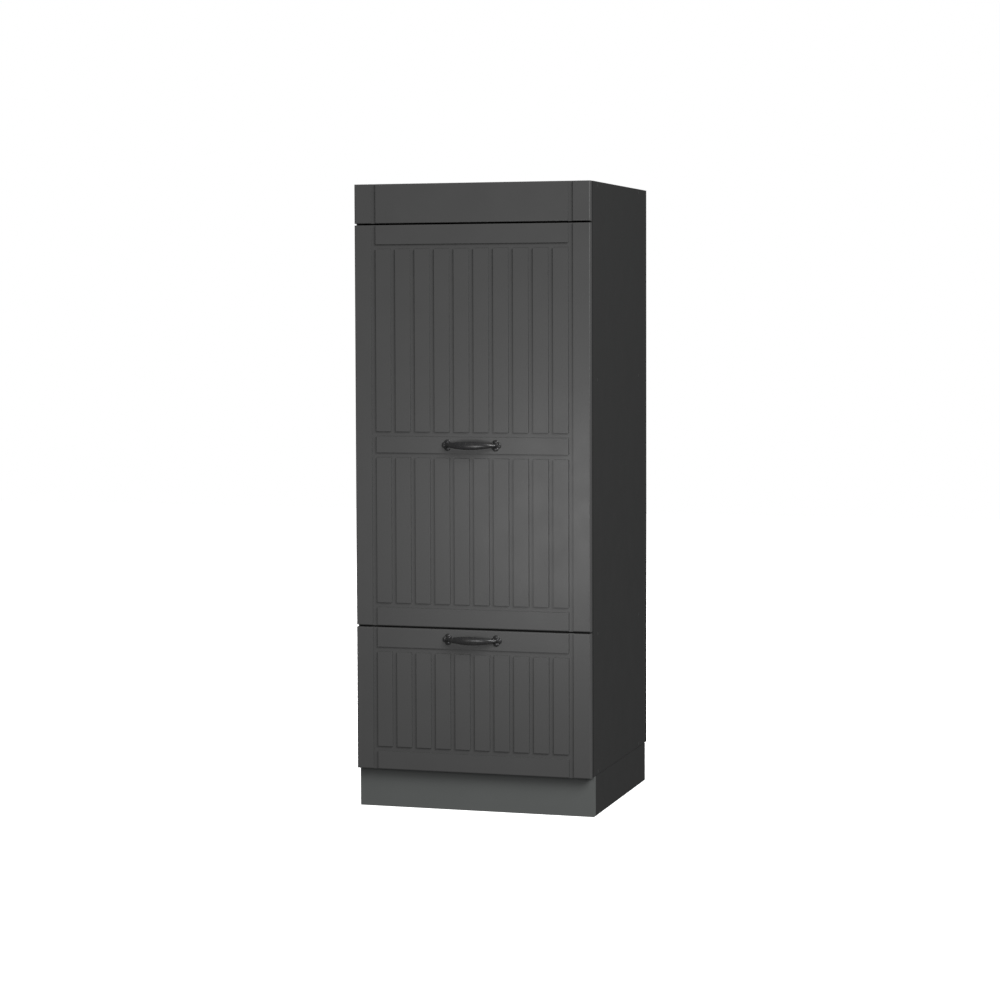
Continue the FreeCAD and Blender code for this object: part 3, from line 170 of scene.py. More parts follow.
class GrowTree(NodePen):
    """A Geometry Nodes tree that is run once and then taken off its piece."""

    def __init__(self, name: str) -> None:
        """Start a tree with geometry in and geometry out.

        Args:
            name: The tree's name.
        """
        super().__init__(bpy.data.node_groups.new(name, "GeometryNodeTree"))
        face = self.tree.interface
        face.new_socket("Geometry", in_out="INPUT", socket_type="NodeSocketGeometry")
        face.new_socket("Geometry", in_out="OUTPUT", socket_type="NodeSocketGeometry")
        self.entry = self.tree.nodes.new("NodeGroupInput")
        self.finish = self.asks("Finish", "Material")

    @property
    def start(self) -> Socket:
        """The geometry that comes in."""
        return self.entry.outputs["Geometry"]

    def asks(self, name: str, kind: str = "Float") -> Socket:
        """Socket that carries a new named input: a Float, Int, Object or Material."""
        self.tree.interface.new_socket(name, in_out="INPUT", socket_type="NodeSocket" + kind)
        return self.entry.outputs[name]

    def close(self, geometry: Socket) -> None:
        """End the tree in Realize Instances and Set Material.

        Args:
            geometry: The finished geometry.
        """
        real = self.node("GeometryNodeRealizeInstances", {"Geometry": geometry})
        dressed = self.node("GeometryNodeSetMaterial", {
            "Geometry": real.outputs[0], "Material": self.finish})
        leave = self.tree.nodes.new("NodeGroupOutput")
        self.tree.links.new(dressed.outputs[0], leave.inputs["Geometry"])

    def place_copies(self, points: Socket, shape: Socket, axis: str, spin: Socket | None = None) -> Socket:
        """Put a copy of an object on every point, turned along the point's aim.

        Args:
            points: Geometry whose points carry the aim attribute.
            shape: The object to copy.
            axis: The copy's axis that follows the aim.
            spin: Angle that each copy is turned about its own Z axis.

        Returns:
            The copies' geometry.
        """
        aim = self.node("GeometryNodeInputNamedAttribute", {"Name": "aim"}, data_type="FLOAT_VECTOR")
        turn = self.node("FunctionNodeAlignRotationToVector", {"Vector": aim.outputs[0]}, axis=axis)
        rotation = turn.outputs[0]
        if spin is not None:
            own = self.node("FunctionNodeAxisAngleToRotation", {"Axis": (0, 0, 1), "Angle": spin})
            rotation = self.node("FunctionNodeRotateRotation", {0: rotation, 1: own.outputs[0]},
                                 rotation_space="LOCAL").outputs[0]
        source = self.node("GeometryNodeObjectInfo", {"Object": shape})
        copies = self.node("GeometryNodeInstanceOnPoints", {
            "Points": points, "Instance": source.outputs["Geometry"], "Rotation": rotation})
        return copies.outputs[0]


def grow(base: Mesh, writer: GrowTree, values: dict[str, object]) -> Mesh:
    """Run a tree on a mesh and return the result as a plain mesh.

    Args:
        base: The mesh that goes in.
        writer: The tree to run.
        values: Its named inputs.

    Returns:
        A new mesh with nothing live on it.
    """
    carrier = hang("carrier", base)
    modifier = carrier.modifiers.new("grow", "NODES")
    modifier.node_group = writer.tree
    for item in writer.tree.interface.items_tree:
        if item.in_out == "INPUT" and item.name in values:
            modifier[item.identifier] = values[item.name]
    result = settled(carrier)
    carrier.modifiers.remove(modifier)
    bpy.data.objects.remove(carrier)
    return result


def hang(name: str, data: bpy.types.ID) -> Thing:
    """Put a new object in the scene."""
    made = bpy.data.objects.new(name, data)
    bpy.context.scene.collection.objects.link(made)
    return made


def settled(carrier: Thing) -> Mesh:
    """Return the carrier's mesh with its modifiers worked in."""
    bpy.context.view_layer.update()
    graph = bpy.context.evaluated_depsgraph_get()
    return bpy.data.meshes.new_from_object(carrier.evaluated_get(graph))


# Meshes


def shade(mesh: Mesh, angle: float = SHARP_ANGLE) -> None:
    """Shade a mesh smooth, apart from edges sharper than an angle in degrees."""
    mesh.polygons.foreach_set("use_smooth", [True] * len(mesh.polygons))
    mesh.set_sharp_from_angle(angle=math.radians(angle))


def weighed(mesh: Mesh) -> Mesh:
    """Give a shaded mesh normals weighed by face area, so that wide flat faces stay flat.

    Args:
        mesh: The shaded mesh.

    Returns:
        A copy that carries the normals.
    """
    carrier = hang("carrier", mesh)
    modifier = carrier.modifiers.new("weigh", "WEIGHTED_NORMAL")
    modifier.mode = "FACE_AREA"
    modifier.weight = AREA_WEIGHT
    modifier.keep_sharp = True
    result = settled(carrier)
    bpy.data.objects.remove(carrier)
    return result


def outward(mesh: Mesh, gap: float = SHAPED_MERGE_GAP) -> None:
    """Merge doubles and turn every face of closed shells outwards.

    Args:
        mesh: The mesh to put right.
        gap: The distance under which two points are one.
    """
    shell = bmesh.new()
    shell.from_mesh(mesh)
    bmesh.ops.remove_doubles(shell, verts=shell.verts, dist=gap)
    bmesh.ops.dissolve_degenerate(shell, edges=shell.edges, dist=gap)
    bmesh.ops.recalc_face_normals(shell, faces=shell.faces)
    shell.to_mesh(mesh)
    shell.free()


def new_mesh(name: str, points: Iterable[Point], faces: Iterable[tuple[int, ...]] = ()) -> Mesh:
    """Mesh of points and faces."""
    mesh = bpy.data.meshes.new(name)
    mesh.from_pydata(list(points), [], list(faces))
    return mesh


def skin(name: str, rings: Sequence[Sequence[Point]]) -> Mesh:
    """Closed skin over rings of points that all have the same count.

    Args:
        name: The mesh's name.
        rings: Rings in order. The first and the last are closed with one face each.

    Returns:
        The skin as a mesh.
    """
    count = len(rings[0])
    points = [point for ring in rings for point in ring]
    faces = []
    for row in range(len(rings) - 1):
        for step in range(count):
            following = (step + 1) % count
            low, high = row * count, (row + 1) * count
            faces.append((low + step, low + following, high + following, high + step))
    faces.append(tuple(range(count))[::-1])
    faces.append(tuple(range(len(points) - count, len(points))))
    mesh = new_mesh(name, points, faces)
    outward(mesh)
    return mesh


def circle(radius: float, height: float, count: int = RING_POINTS) -> list[Point]:
    """Ring of points about Z."""
    angles = [FULL_TURN * step / count for step in range(count)]
    return [(radius * math.cos(a), radius * math.sin(a), height) for a in angles]


def turned(name: str, profile: Iterable[tuple[float, float]], count: int = RING_POINTS) -> Mesh:
    """Piece turned about Z, from pairs of radius and height."""
    return skin(name, [circle(radius, height, count) for radius, height in profile])


def point_cloud(name: str, places: Sequence[Point], aims: Sequence[Point]) -> Mesh:
    """Loose points that each carry a direction, as the aim attribute.

    Args:
        name: The mesh's name.
        places: The points.
        aims: One direction for each point.

    Returns:
        A mesh with no faces.
    """
    mesh = new_mesh(name, places)
    attribute = mesh.attributes.new("aim", "FLOAT_VECTOR", "POINT")
    attribute.data.foreach_set("vector", [number for aim in aims for number in aim])
    return mesh


@dataclass(frozen=True)
class Solid:
    """One loose solid of a CAD node, seen as a turned piece with an axis.

    head is the middle of the wider end, aim points from the other end to it.
    """

    head: Vector
    aim: Vector
    length: float
    radius: float
    centre: Vector


def cad_copy(node: str) -> bmesh.types.BMesh:
    """Editable copy of a CAD node, with its doubles merged."""
    copy = bmesh.new()
    copy.from_mesh(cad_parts[node].data)
    bmesh.ops.remove_doubles(copy, verts=copy.verts, dist=CAD_MERGE_GAP)
    return copy


def loose_solids(node: str, axis: Aim) -> list[Solid]:
    """Find the separate solids of a CAD node.

    Args:
        node: The CAD node's name.
        axis: Whether the pieces run along their longest or their shortest extent.

    Returns:
        One entry for each solid, in a fixed order.
    """
    copy = cad_copy(node)
    copy.verts.ensure_lookup_table()
    unseen = set(range(len(copy.verts)))
    found = []
    while unseen:
        queue, island = [min(unseen)], []
        unseen.discard(queue[0])
        while queue:
            vert = copy.verts[queue.pop()]
            island.append(vert.co.copy())
            for edge in vert.link_edges:
                other = edge.other_vert(vert).index
                if other in unseen:
                    unseen.discard(other)
                    queue.append(other)
        found.append(as_solid(island, axis))
    copy.free()
    return sorted(found, key=lambda solid: tuple(round(c, 5) for c in solid.centre))


def as_solid(points: Sequence[Vector], axis: Aim) -> Solid:
    """Measure one solid about its own axis.

    Args:
        points: The solid's corners.
        axis: Which extent is its axis.

    Returns:
        The solid's head, direction, length and radius.
    """
    low = Vector([min(p[i] for p in points) for i in range(3)])
    high = Vector([max(p[i] for p in points) for i in range(3)])
    extents = high - low
    pick = max if axis is Aim.LONGEST else min
    along = pick(range(3), key=lambda i: extents[i])
    centre = (low + high) / 2
    reach = {}
    for sign, level in ((-1, low[along]), (1, high[along])):
        end = [p for p in points if abs(p[along] - level) < END_SLICE]
        reach[sign] = max(max(abs(p[i] - centre[i]) for i in range(3) if i != along) for p in end)
    lead = reach[1] - reach[-1]
    if abs(lead) <= HEAD_LEAD:
        lead = centre[along]
    aim = Vector((0, 0, 0))
    aim[along] = 1 if lead > 0 else -1
    head = centre + aim * extents[along] / 2
    radius = max(extents[i] for i in range(3) if i != along) / 2
    return Solid(head, aim, extents[along], radius, centre)


# Finishes


@dataclass(frozen=True)
class Finish:
    """A surface with one principled shader, and the detail that its kinds add."""

    name: str
    colour: Colour
    roughness: float
    metallic: float = 0.0
    specular: float = 0.5
    mottle: float = 0.06
    mottle_size: float = 220 * MM
    grain_size: float = 1.2 * MM
    grain_depth: float = 0.02 * MM
    roughness_play: float = 0.06

    def material(self) -> Material:
        """Build the finish as a material."""
        made = bpy.data.materials.new(self.name)
        made.use_nodes = True
        made.node_tree.nodes.clear()
        pen = NodePen(made.node_tree)
        shader = pen.node("ShaderNodeBsdfPrincipled", {
            "Metallic": self.metallic, "Specular IOR Level": self.specular})
        out = pen.node("ShaderNodeOutputMaterial")
        pen.feed(out.inputs["Surface"], shader.outputs[0])
        place = pen.node("ShaderNodeTexCoord").outputs["Object"]
        pen.feed(shader.inputs["Base Color"], self.paint(pen, place))
        pen.feed(shader.inputs["Roughness"], self.gloss(pen, place))
        pen.feed(shader.inputs["Normal"], self.relief(pen, place))
        self.extras(shader)
        return made

    def noise(self, pen: NodePen, place: Socket, size: float, detail: float = 2.0,
              stretch: Point = (1, 1, 1)) -> Socket:
        """Noise with features of one size in metres, stretched on each axis."""
        moved = pen.node("ShaderNodeMapping", {"Vector": place, "Scale": stretch}).outputs[0]
        made = pen.node("ShaderNodeTexNoise", {"Vector": moved, "Scale": 1 / size, "Detail": detail})
        return made.outputs[0]

    def blend(self, pen: NodePen, amount: Socket, first: object, second: object) -> Socket:
        """Mix two colours by an amount from 0 to 1."""
        made = pen.node("ShaderNodeMix", data_type="RGBA")
        pen.feed(made.inputs[0], amount)
        for number, colour in ((6, first), (7, second)):
            pen.feed(made.inputs[number], (*colour, 1) if isinstance(colour, tuple) else colour)
        return made.outputs[2]

    def tone(self, share: float) -> Colour:
        """The finish's colour made lighter or darker by a share."""
        return tuple(channel * (1 + share) for channel in self.colour)

    def paint(self, pen: NodePen, place: Socket) -> Socket:
        """Colour with soft large-scale mottle."""
        cloud = self.noise(pen, place, self.mottle_size, 3.0)
        return self.blend(pen, cloud, self.tone(-self.mottle), self.tone(self.mottle))

    def gloss(self, pen: NodePen, place: Socket) -> Socket:
        """Roughness that varies a little."""
        cloud = self.noise(pen, place, self.mottle_size / 3, 3.0)
        return pen.remap(cloud, NOISE_SPAN, self.roughness_ends())

    def relief(self, pen: NodePen, place: Socket) -> Socket:
        """Fine surface texture."""
        return self.bump(pen, self.noise(pen, place, self.grain_size))

    def bump(self, pen: NodePen, height: Socket) -> Socket:
        """Normals of a height that is as deep as the grain."""
        made = pen.node("ShaderNodeBump", {"Height": height, "Strength": 1.0, "Distance": self.grain_depth})
        return made.outputs[0]

    def roughness_ends(self) -> tuple[float, float]:
        """Smoothest and roughest values."""
        return self.roughness - self.roughness_play, self.roughness + self.roughness_play

    def extras(self, shader: bpy.types.Node) -> None:
        """Constants that only some finishes set."""


@dataclass(frozen=True)
class SatinFoil(Finish):
    """Matt lacquer foil drawn over milled fibreboard, with the fine orange peel of its press."""

    coat: float = 0.12
    coat_roughness: float = 0.5
    peel_size: float = 5.0
    peel_height: float = 2.0

    def relief(self, pen: NodePen, place: Socket) -> Socket:
        """Orange peel with a finer grain over it."""
        peel = self.noise(pen, place, self.grain_size * self.peel_size, 1.0)
        fine = self.noise(pen, place, self.grain_size)
        return self.bump(pen, pen.math("ADD", pen.math("MULTIPLY", peel, self.peel_height), fine))

    def extras(self, shader: bpy.types.Node) -> None:
        """A thin, wide clear coat."""
        shader.inputs["Coat Weight"].default_value = self.coat
        shader.inputs["Coat Roughness"].default_value = self.coat_roughness


@dataclass(frozen=True)
class Melamine(Finish):
    """Board with a pressed pearl texture and faint speckle."""

    speckle: float = 0.10
    speckle_span: tuple[float, float] = (0.42, 0.62)

    def paint(self, pen: NodePen, place: Socket) -> Socket:
        """Mottle with a fine speckle on top."""
        ground = super().paint(pen, place)
        dots = self.noise(pen, place, self.grain_size * 1.5, 3.0)
        amount = pen.remap(dots, self.speckle_span, (0.0, 1.0))
        return self.blend(pen, amount, ground, self.tone(self.speckle))


@dataclass(frozen=True)
class RawBackBoard(Finish):
    """Hardboard that is painted on its room side and raw on the wall side."""

    raw: Colour = (0.23, 0.13, 0.065)
    fleck: Colour = (0.175, 0.098, 0.048)
    strand_size: float = 2.5 * MM
    strand_stretch: Point = (1, 1, 0.6)
    strand_span: tuple[float, float] = (0.38, 0.62)

    def paint(self, pen: NodePen, place: Socket) -> Socket:
        """Paint where the face looks to the room or down, raw fibre where it looks to the wall."""
        painted = super().paint(pen, place)
        strands = self.noise(pen, place, self.strand_size, 6.0, self.strand_stretch)
        fibre = self.blend(pen, pen.remap(strands, self.strand_span, (0.0, 1.0)), self.fleck, self.raw)
        facing = pen.node("ShaderNodeSeparateXYZ", {0: pen.node("ShaderNodeNewGeometry").outputs["Normal"]})
        wall_side = pen.math("GREATER_THAN", facing.outputs[1], 0.5)
        return self.blend(pen, wall_side, painted, fibre)


@dataclass(frozen=True)
class Metal(Finish):
    """Plated or blackened metal with a drawn grain and stains."""

    drawn_along: Point = (1, 0.06, 1)
    stain: Colour = (0.3, 0.3, 0.3)
    stain_share: float = 0.25
    stain_span: tuple[float, float] = (0.45, 0.75)

    def paint(self, pen: NodePen, place: Socket) -> Socket:
        """Metal with soft stains."""
        cloud = self.noise(pen, place, self.mottle_size, 5.0)
        amount = pen.remap(cloud, self.stain_span, (0.0, self.stain_share))
        return self.blend(pen, amount, self.colour, self.stain)

    def gloss(self, pen: NodePen, place: Socket) -> Socket:
        """Roughness drawn along the rolling direction."""
        lines = self.noise(pen, place, self.grain_size, 3.0, self.drawn_along)
        return pen.remap(lines, NOISE_SPAN, self.roughness_ends())


@dataclass(frozen=True)
class Plastic(Finish):
    """Moulded plastic with a fine spark-eroded texture."""

    glow: float = 0.0
    glow_reach: Point = (2 * MM, 2 * MM, 2 * MM)

    def extras(self, shader: bpy.types.Node) -> None:
        """Light that passes a little way into a clear plastic."""
        if self.glow:
            shader.inputs["Subsurface Weight"].default_value = self.glow
            shader.inputs["Subsurface Radius"].default_value = self.glow_reach


@dataclass(frozen=True)
class Beech(Finish):
    """Raw beech with its grain along X."""

    late_wood: Colour = (0.36, 0.21, 0.1)
    late_share: float = 0.7
    fleck_size: float = 1.2 * MM
    fleck_stretch: Point = (0.08, 1, 1)
    fleck_span: tuple[float, float] = (0.45, 0.65)

    def paint(self, pen: NodePen, place: Socket) -> Socket:
        """Long flecks of late wood."""
        flecks = self.noise(pen, place, self.fleck_size, 4.0, self.fleck_stretch)
        amount = pen.remap(flecks, self.fleck_span, (0.0, self.late_share))
        return self.blend(pen, amount, self.colour, self.late_wood)


FINISHES: dict[Slot, Finish] = {
    Slot.FRONT: SatinFoil("satin_grey_foil", (0.058, 0.058, 0.0578), 0.41, specular=0.6, mottle=0.03,
                          grain_size=0.9 * MM, grain_depth=0.006 * MM, roughness_play=0.03),
    Slot.CARCASS: Melamine("grey_melamine", (0.0252, 0.0256, 0.0254), 0.62, specular=0.2, mottle=0.015,
                           grain_size=0.8 * MM, grain_depth=0.03 * MM, roughness_play=0.02),
    Slot.BACK: RawBackBoard("back_hardboard", (0.028, 0.028, 0.0275), 0.65, specular=0.25,
                            grain_size=1.0 * MM, grain_depth=0.03 * MM),
    Slot.DRAWER: Melamine("light_melamine", (0.30, 0.30, 0.29), 0.55, specular=0.35, mottle=0.04,
                          grain_size=0.8 * MM, grain_depth=0.03 * MM, speckle=-0.08),
    Slot.PLINTH: Melamine("plinth_foil", (0.098, 0.1035, 0.101), 0.5, specular=0.4, mottle=0.04,
                          grain_size=1.0 * MM, grain_depth=0.012 * MM, speckle=0.04),
    Slot.HANDLE: Metal("blackened_metal", (0.034, 0.034, 0.035), 0.28, metallic=0.4, specular=0.5,
                       mottle_size=9 * MM, grain_size=1.5 * MM, grain_depth=0.012 * MM,
                       drawn_along=(1, 1, 1), stain=(0.07, 0.068, 0.066), stain_share=0.5),
    Slot.NICKEL: Metal("nickel_plate", (0.56, 0.54, 0.50), 0.26, metallic=1.0, mottle_size=12 * MM,
                       grain_size=0.7 * MM, grain_depth=0.004 * MM, drawn_along=(1, 1, 0.06)),
    Slot.ZINC: Metal("bright_zinc", (0.50, 0.52, 0.54), 0.34, metallic=1.0, mottle_size=18 * MM,
                     grain_size=0.8 * MM, grain_depth=0.006 * MM),
    Slot.BALL: Metal("polished_balls", (0.62, 0.62, 0.63), 0.09, metallic=1.0, roughness_play=0.03,
                     mottle_size=3 * MM, grain_depth=0.001 * MM, stain_share=0.08),
    Slot.CAP: Plastic("grey_cap_plastic", (0.030, 0.031, 0.031), 0.5, specular=0.35, mottle=0.05,
                      mottle_size=6 * MM, grain_size=0.4 * MM, grain_depth=0.01 * MM),
    Slot.BUMPER: Plastic("clear_bumper", (0.55, 0.56, 0.56), 0.3, mottle_size=6 * MM,
                         grain_size=0.6 * MM, grain_depth=0.004 * MM, glow=0.5),
    Slot.LEG: Plastic("black_leg_plastic", (0.012, 0.012, 0.013), 0.48, mottle=0.15, mottle_size=20 * MM,
                      grain_size=0.5 * MM, grain_depth=0.02 * MM),
    Slot.DOWEL: Beech("raw_beech", (0.50, 0.33, 0.18), 0.7, grain_size=0.8 * MM, grain_depth=0.05 * MM),
}


# Workshop


@dataclass
class Workshop:
    """Holds the finishes and takes in every finished piece."""

    flat_angle: float = 0.6
    eased_angle: float = 34.0
    eased_segments: int = 3
    eased_sharp_angle: float = 24.0
    materials: dict[Slot, Material] = field(default_factory=dict)
    taken: set[str] = field(default_factory=set)

    def material(self, slot: Slot) -> Material:
        """The slot's material, built the first time that it is asked for."""
        if slot not in self.materials:
            self.materials[slot] = FINISHES[slot].material()
        return self.materials[slot]

    def deliver(self, mesh: Mesh, name: str, body: Body, slot: Slot, *nodes: str,
                angle: float = SHARP_ANGLE) -> Thing:
        """Hand in a finished piece.

        Args:
            mesh: The piece's mesh, in place.
            name: The piece's name.
            body: The body that it rides on.
            slot: Its finish.
            nodes: The CAD nodes that it stands for.
            angle: Where its shading turns sharp, in degrees.

        Returns:
            The piece's object.
        """
        mesh.materials.clear()
        mesh.materials.append(self.material(slot))
        mesh.polygons.foreach_set("material_index", [0] * len(mesh.polygons))
        shade(mesh, angle)
        mesh = weighed(mesh)
        mesh.name = name
        piece = hang(name, mesh)
        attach(piece, body.value)
        if nodes:
            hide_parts(*nodes)
            self.taken.update(nodes)
        log.info("%s: %d faces on %s, for %s", name, len(mesh.polygons), body.value,
                 ", ".join(nodes) or "no node")
        return piece

    def shape(self, mesh: Mesh) -> Thing:
        """A loose object for a tree to copy, out of the scene's sight."""
        shade(mesh)
        return bpy.data.objects.new("shape", mesh)

    def ease(self, node: str, width: float, body: Body, slot: Slot) -> Thing:
        """Copy a CAD node with its sharp edges eased.

        Args:
            node: The CAD node's name.
            width: How far in from an edge the easing starts, in metres.
            body: The body that it rides on.
            slot: Its finish.

        Returns:
            The eased piece.
        """
        copy = cad_copy(node)
        bmesh.ops.dissolve_limit(copy, angle_limit=math.radians(self.flat_angle), verts=copy.verts,
                                 edges=copy.edges)
        mesh = bpy.data.meshes.new(node)
        copy.to_mesh(mesh)
        copy.free()
        carrier = hang("carrier", mesh)
        mesh.polygons.foreach_set("use_smooth", [True] * len(mesh.polygons))
        bevel = carrier.modifiers.new("ease", "BEVEL")
        bevel.width = width
        bevel.segments = self.eased_segments
        bevel.limit_method = "ANGLE"
        bevel.angle_limit = math.radians(self.eased_angle)
        eased = settled(carrier)
        bpy.data.objects.remove(carrier)
        return self.deliver(eased, node + "_eased", body, slot, node, angle=self.eased_sharp_angle)

    def scatter(self, node: str, name: str, body: Body, slot: Slot, axis: Aim,
                make: Callable[[Solid], Mesh], seed: int = 1) -> Thing:
        """Put a better shape in place of every solid of a CAD node.

        Args:
            node: The CAD node whose solids give the places.
            name: The new piece's name.
            body: The body that it rides on.
            slot: Its finish.
            axis: Which extent of a solid is its axis.
            make: Makes the shape from one solid, with its head at the origin and looking along +Z.
            seed: Seed of the random turns about the axis.

        Returns:
            The finished piece.
        """
        solids = loose_solids(node, axis)
        points = point_cloud(name, [solid.head for solid in solids], [solid.aim for solid in solids])
        shape = self.shape(make(solids[0]))
        tree = GrowTree(name + "_tree")
        spin = tree.node("FunctionNodeRandomValue", {
            "Min": 0.0, "Max": FULL_TURN, "Seed": tree.asks("Seed", "Int")}, data_type="FLOAT")
        tree.close(tree.place_copies(tree.start, tree.asks("Shape", "Object"), "Z", spin.outputs["Value"]))
        mesh = grow(points, tree, {"Shape": shape, "Seed": seed, "Finish": self.material(slot)})
        return self.deliver(mesh, name, body, slot, node)


# Fronts


def snapped(place: float) -> float:
    """Place of a grid line, rounded so that equal lines meet."""
    return round(place, GRID_DIGITS)


def relief_tree() -> GrowTree:
    """Write the tree that mills a flat front.

    Returns:
        The tree. It pushes the points of the front face back by the deepest of the upright
        grooves, the cross grooves and the round-over of the outer edge.
    """
    tree = GrowTree("milled_front")
    pitch, mouth, floor, depth, stiles, radius, half, low, high, face = (tree.asks(name) for name in (
        "Slat pitch", "Groove mouth", "Groove floor", "Groove depth", "Stile groove place",
        "Edge radius", "Half width", "Low edge", "High edge", "Face"))
    levels = [tree.asks("Cross groove %d" % number) for number in range(1, CROSS_GROOVES + 1)]

    def minus(first: object, second: object) -> Socket:
        """Difference of two values."""
        return tree.math("SUBTRACT", first, second)

    def times(first: object, second: object) -> Socket:
        """Product of two values."""
        return tree.math("MULTIPLY", first, second)

    def below(first: object, second: object) -> Socket:
        """1 where the first value is less than the second."""
        return tree.math("LESS_THAN", first, second)

    def size_of(value: object) -> Socket:
        """Value without its sign."""
        return tree.math("ABSOLUTE", value)

    point = tree.node("ShaderNodeSeparateXYZ", {0: tree.node("GeometryNodeInputPosition").outputs[0]})
    x, y, z = point.outputs
    walls = (tree.math("DIVIDE", mouth, 2.0), tree.math("DIVIDE", floor, 2.0))

    def groove(distance: Socket) -> Socket:
        """Depth of a groove at a distance from its centre line."""
        return tree.remap(distance, walls, (0.0, depth), "SMOOTHERSTEP")

    number = tree.math("ROUND", tree.math("DIVIDE", x, pitch))
    off_centre = size_of(minus(x, times(number, pitch)))
    place = size_of(times(number, pitch))
    half_pitch = tree.math("DIVIDE", pitch, 2.0)
    at_stile = below(size_of(minus(place, stiles)), half_pitch)
    within = below(place, minus(stiles, half_pitch))
    fields = [times(tree.math("GREATER_THAN", z, bottom), below(z, top))
              for bottom, top in zip(levels[::2], levels[1::2])]
    in_slats = times(within, tree.fold("MAXIMUM", fields))
    upright = times(groove(off_centre), tree.math("MAXIMUM", at_stile, in_slats))
    crossings = [groove(size_of(minus(z, level))) for level in levels]
    across = times(tree.fold("MAXIMUM", crossings), below(size_of(x), stiles))

    edge = tree.fold("MINIMUM", [minus(half, size_of(x)), minus(z, low), minus(high, z)])
    short = tree.math("MAXIMUM", minus(radius, edge), 0.0)
    square = minus(times(radius, radius), times(short, short))
    round_over = minus(radius, tree.math("SQRT", tree.math("MAXIMUM", square, 0.0)))

    sunk = tree.fold("MAXIMUM", [upright, across, round_over])
    on_face = below(y, tree.math("ADD", face, FACE_SLACK))
    offset = tree.node("ShaderNodeCombineXYZ", {"Y": sunk})
    moved = tree.node("GeometryNodeSetPosition", {
        "Geometry": tree.start, "Selection": on_face, "Offset": offset.outputs[0]})
    tree.close(moved.outputs[0])
    return tree


def pocket_tree() -> GrowTree:
    """Write the tree that bores round pockets into the back of a front.

    Returns:
        The tree, which takes the pockets' places as an object of loose points.
    """
    tree = GrowTree("hinge_pockets")
    radius, depth = tree.asks("Pocket radius"), tree.asks("Pocket depth")
    places = tree.node("GeometryNodeObjectInfo", {"Object": tree.asks("Places", "Object")})
    bit = tree.node("GeometryNodeMeshCylinder", {
        "Vertices": POCKET_POINTS, "Radius": radius, "Depth": tree.math("MULTIPLY", depth, 2.0)})
    laid = tree.node("GeometryNodeInstanceOnPoints", {
        "Points": places.outputs["Geometry"], "Instance": bit.outputs[0], "Rotation": (math.pi / 2, 0, 0)})
    tools = tree.node("GeometryNodeRealizeInstances", {"Geometry": laid.outputs[0]})
    bored = tree.node("GeometryNodeMeshBoolean", operation="DIFFERENCE")
    tree.feed(bored.inputs["Mesh 1"], tree.start)
    tree.feed(bored.inputs["Mesh 2"], tools.outputs[0])
    tree.close(bored.outputs["Mesh"])
    return tree


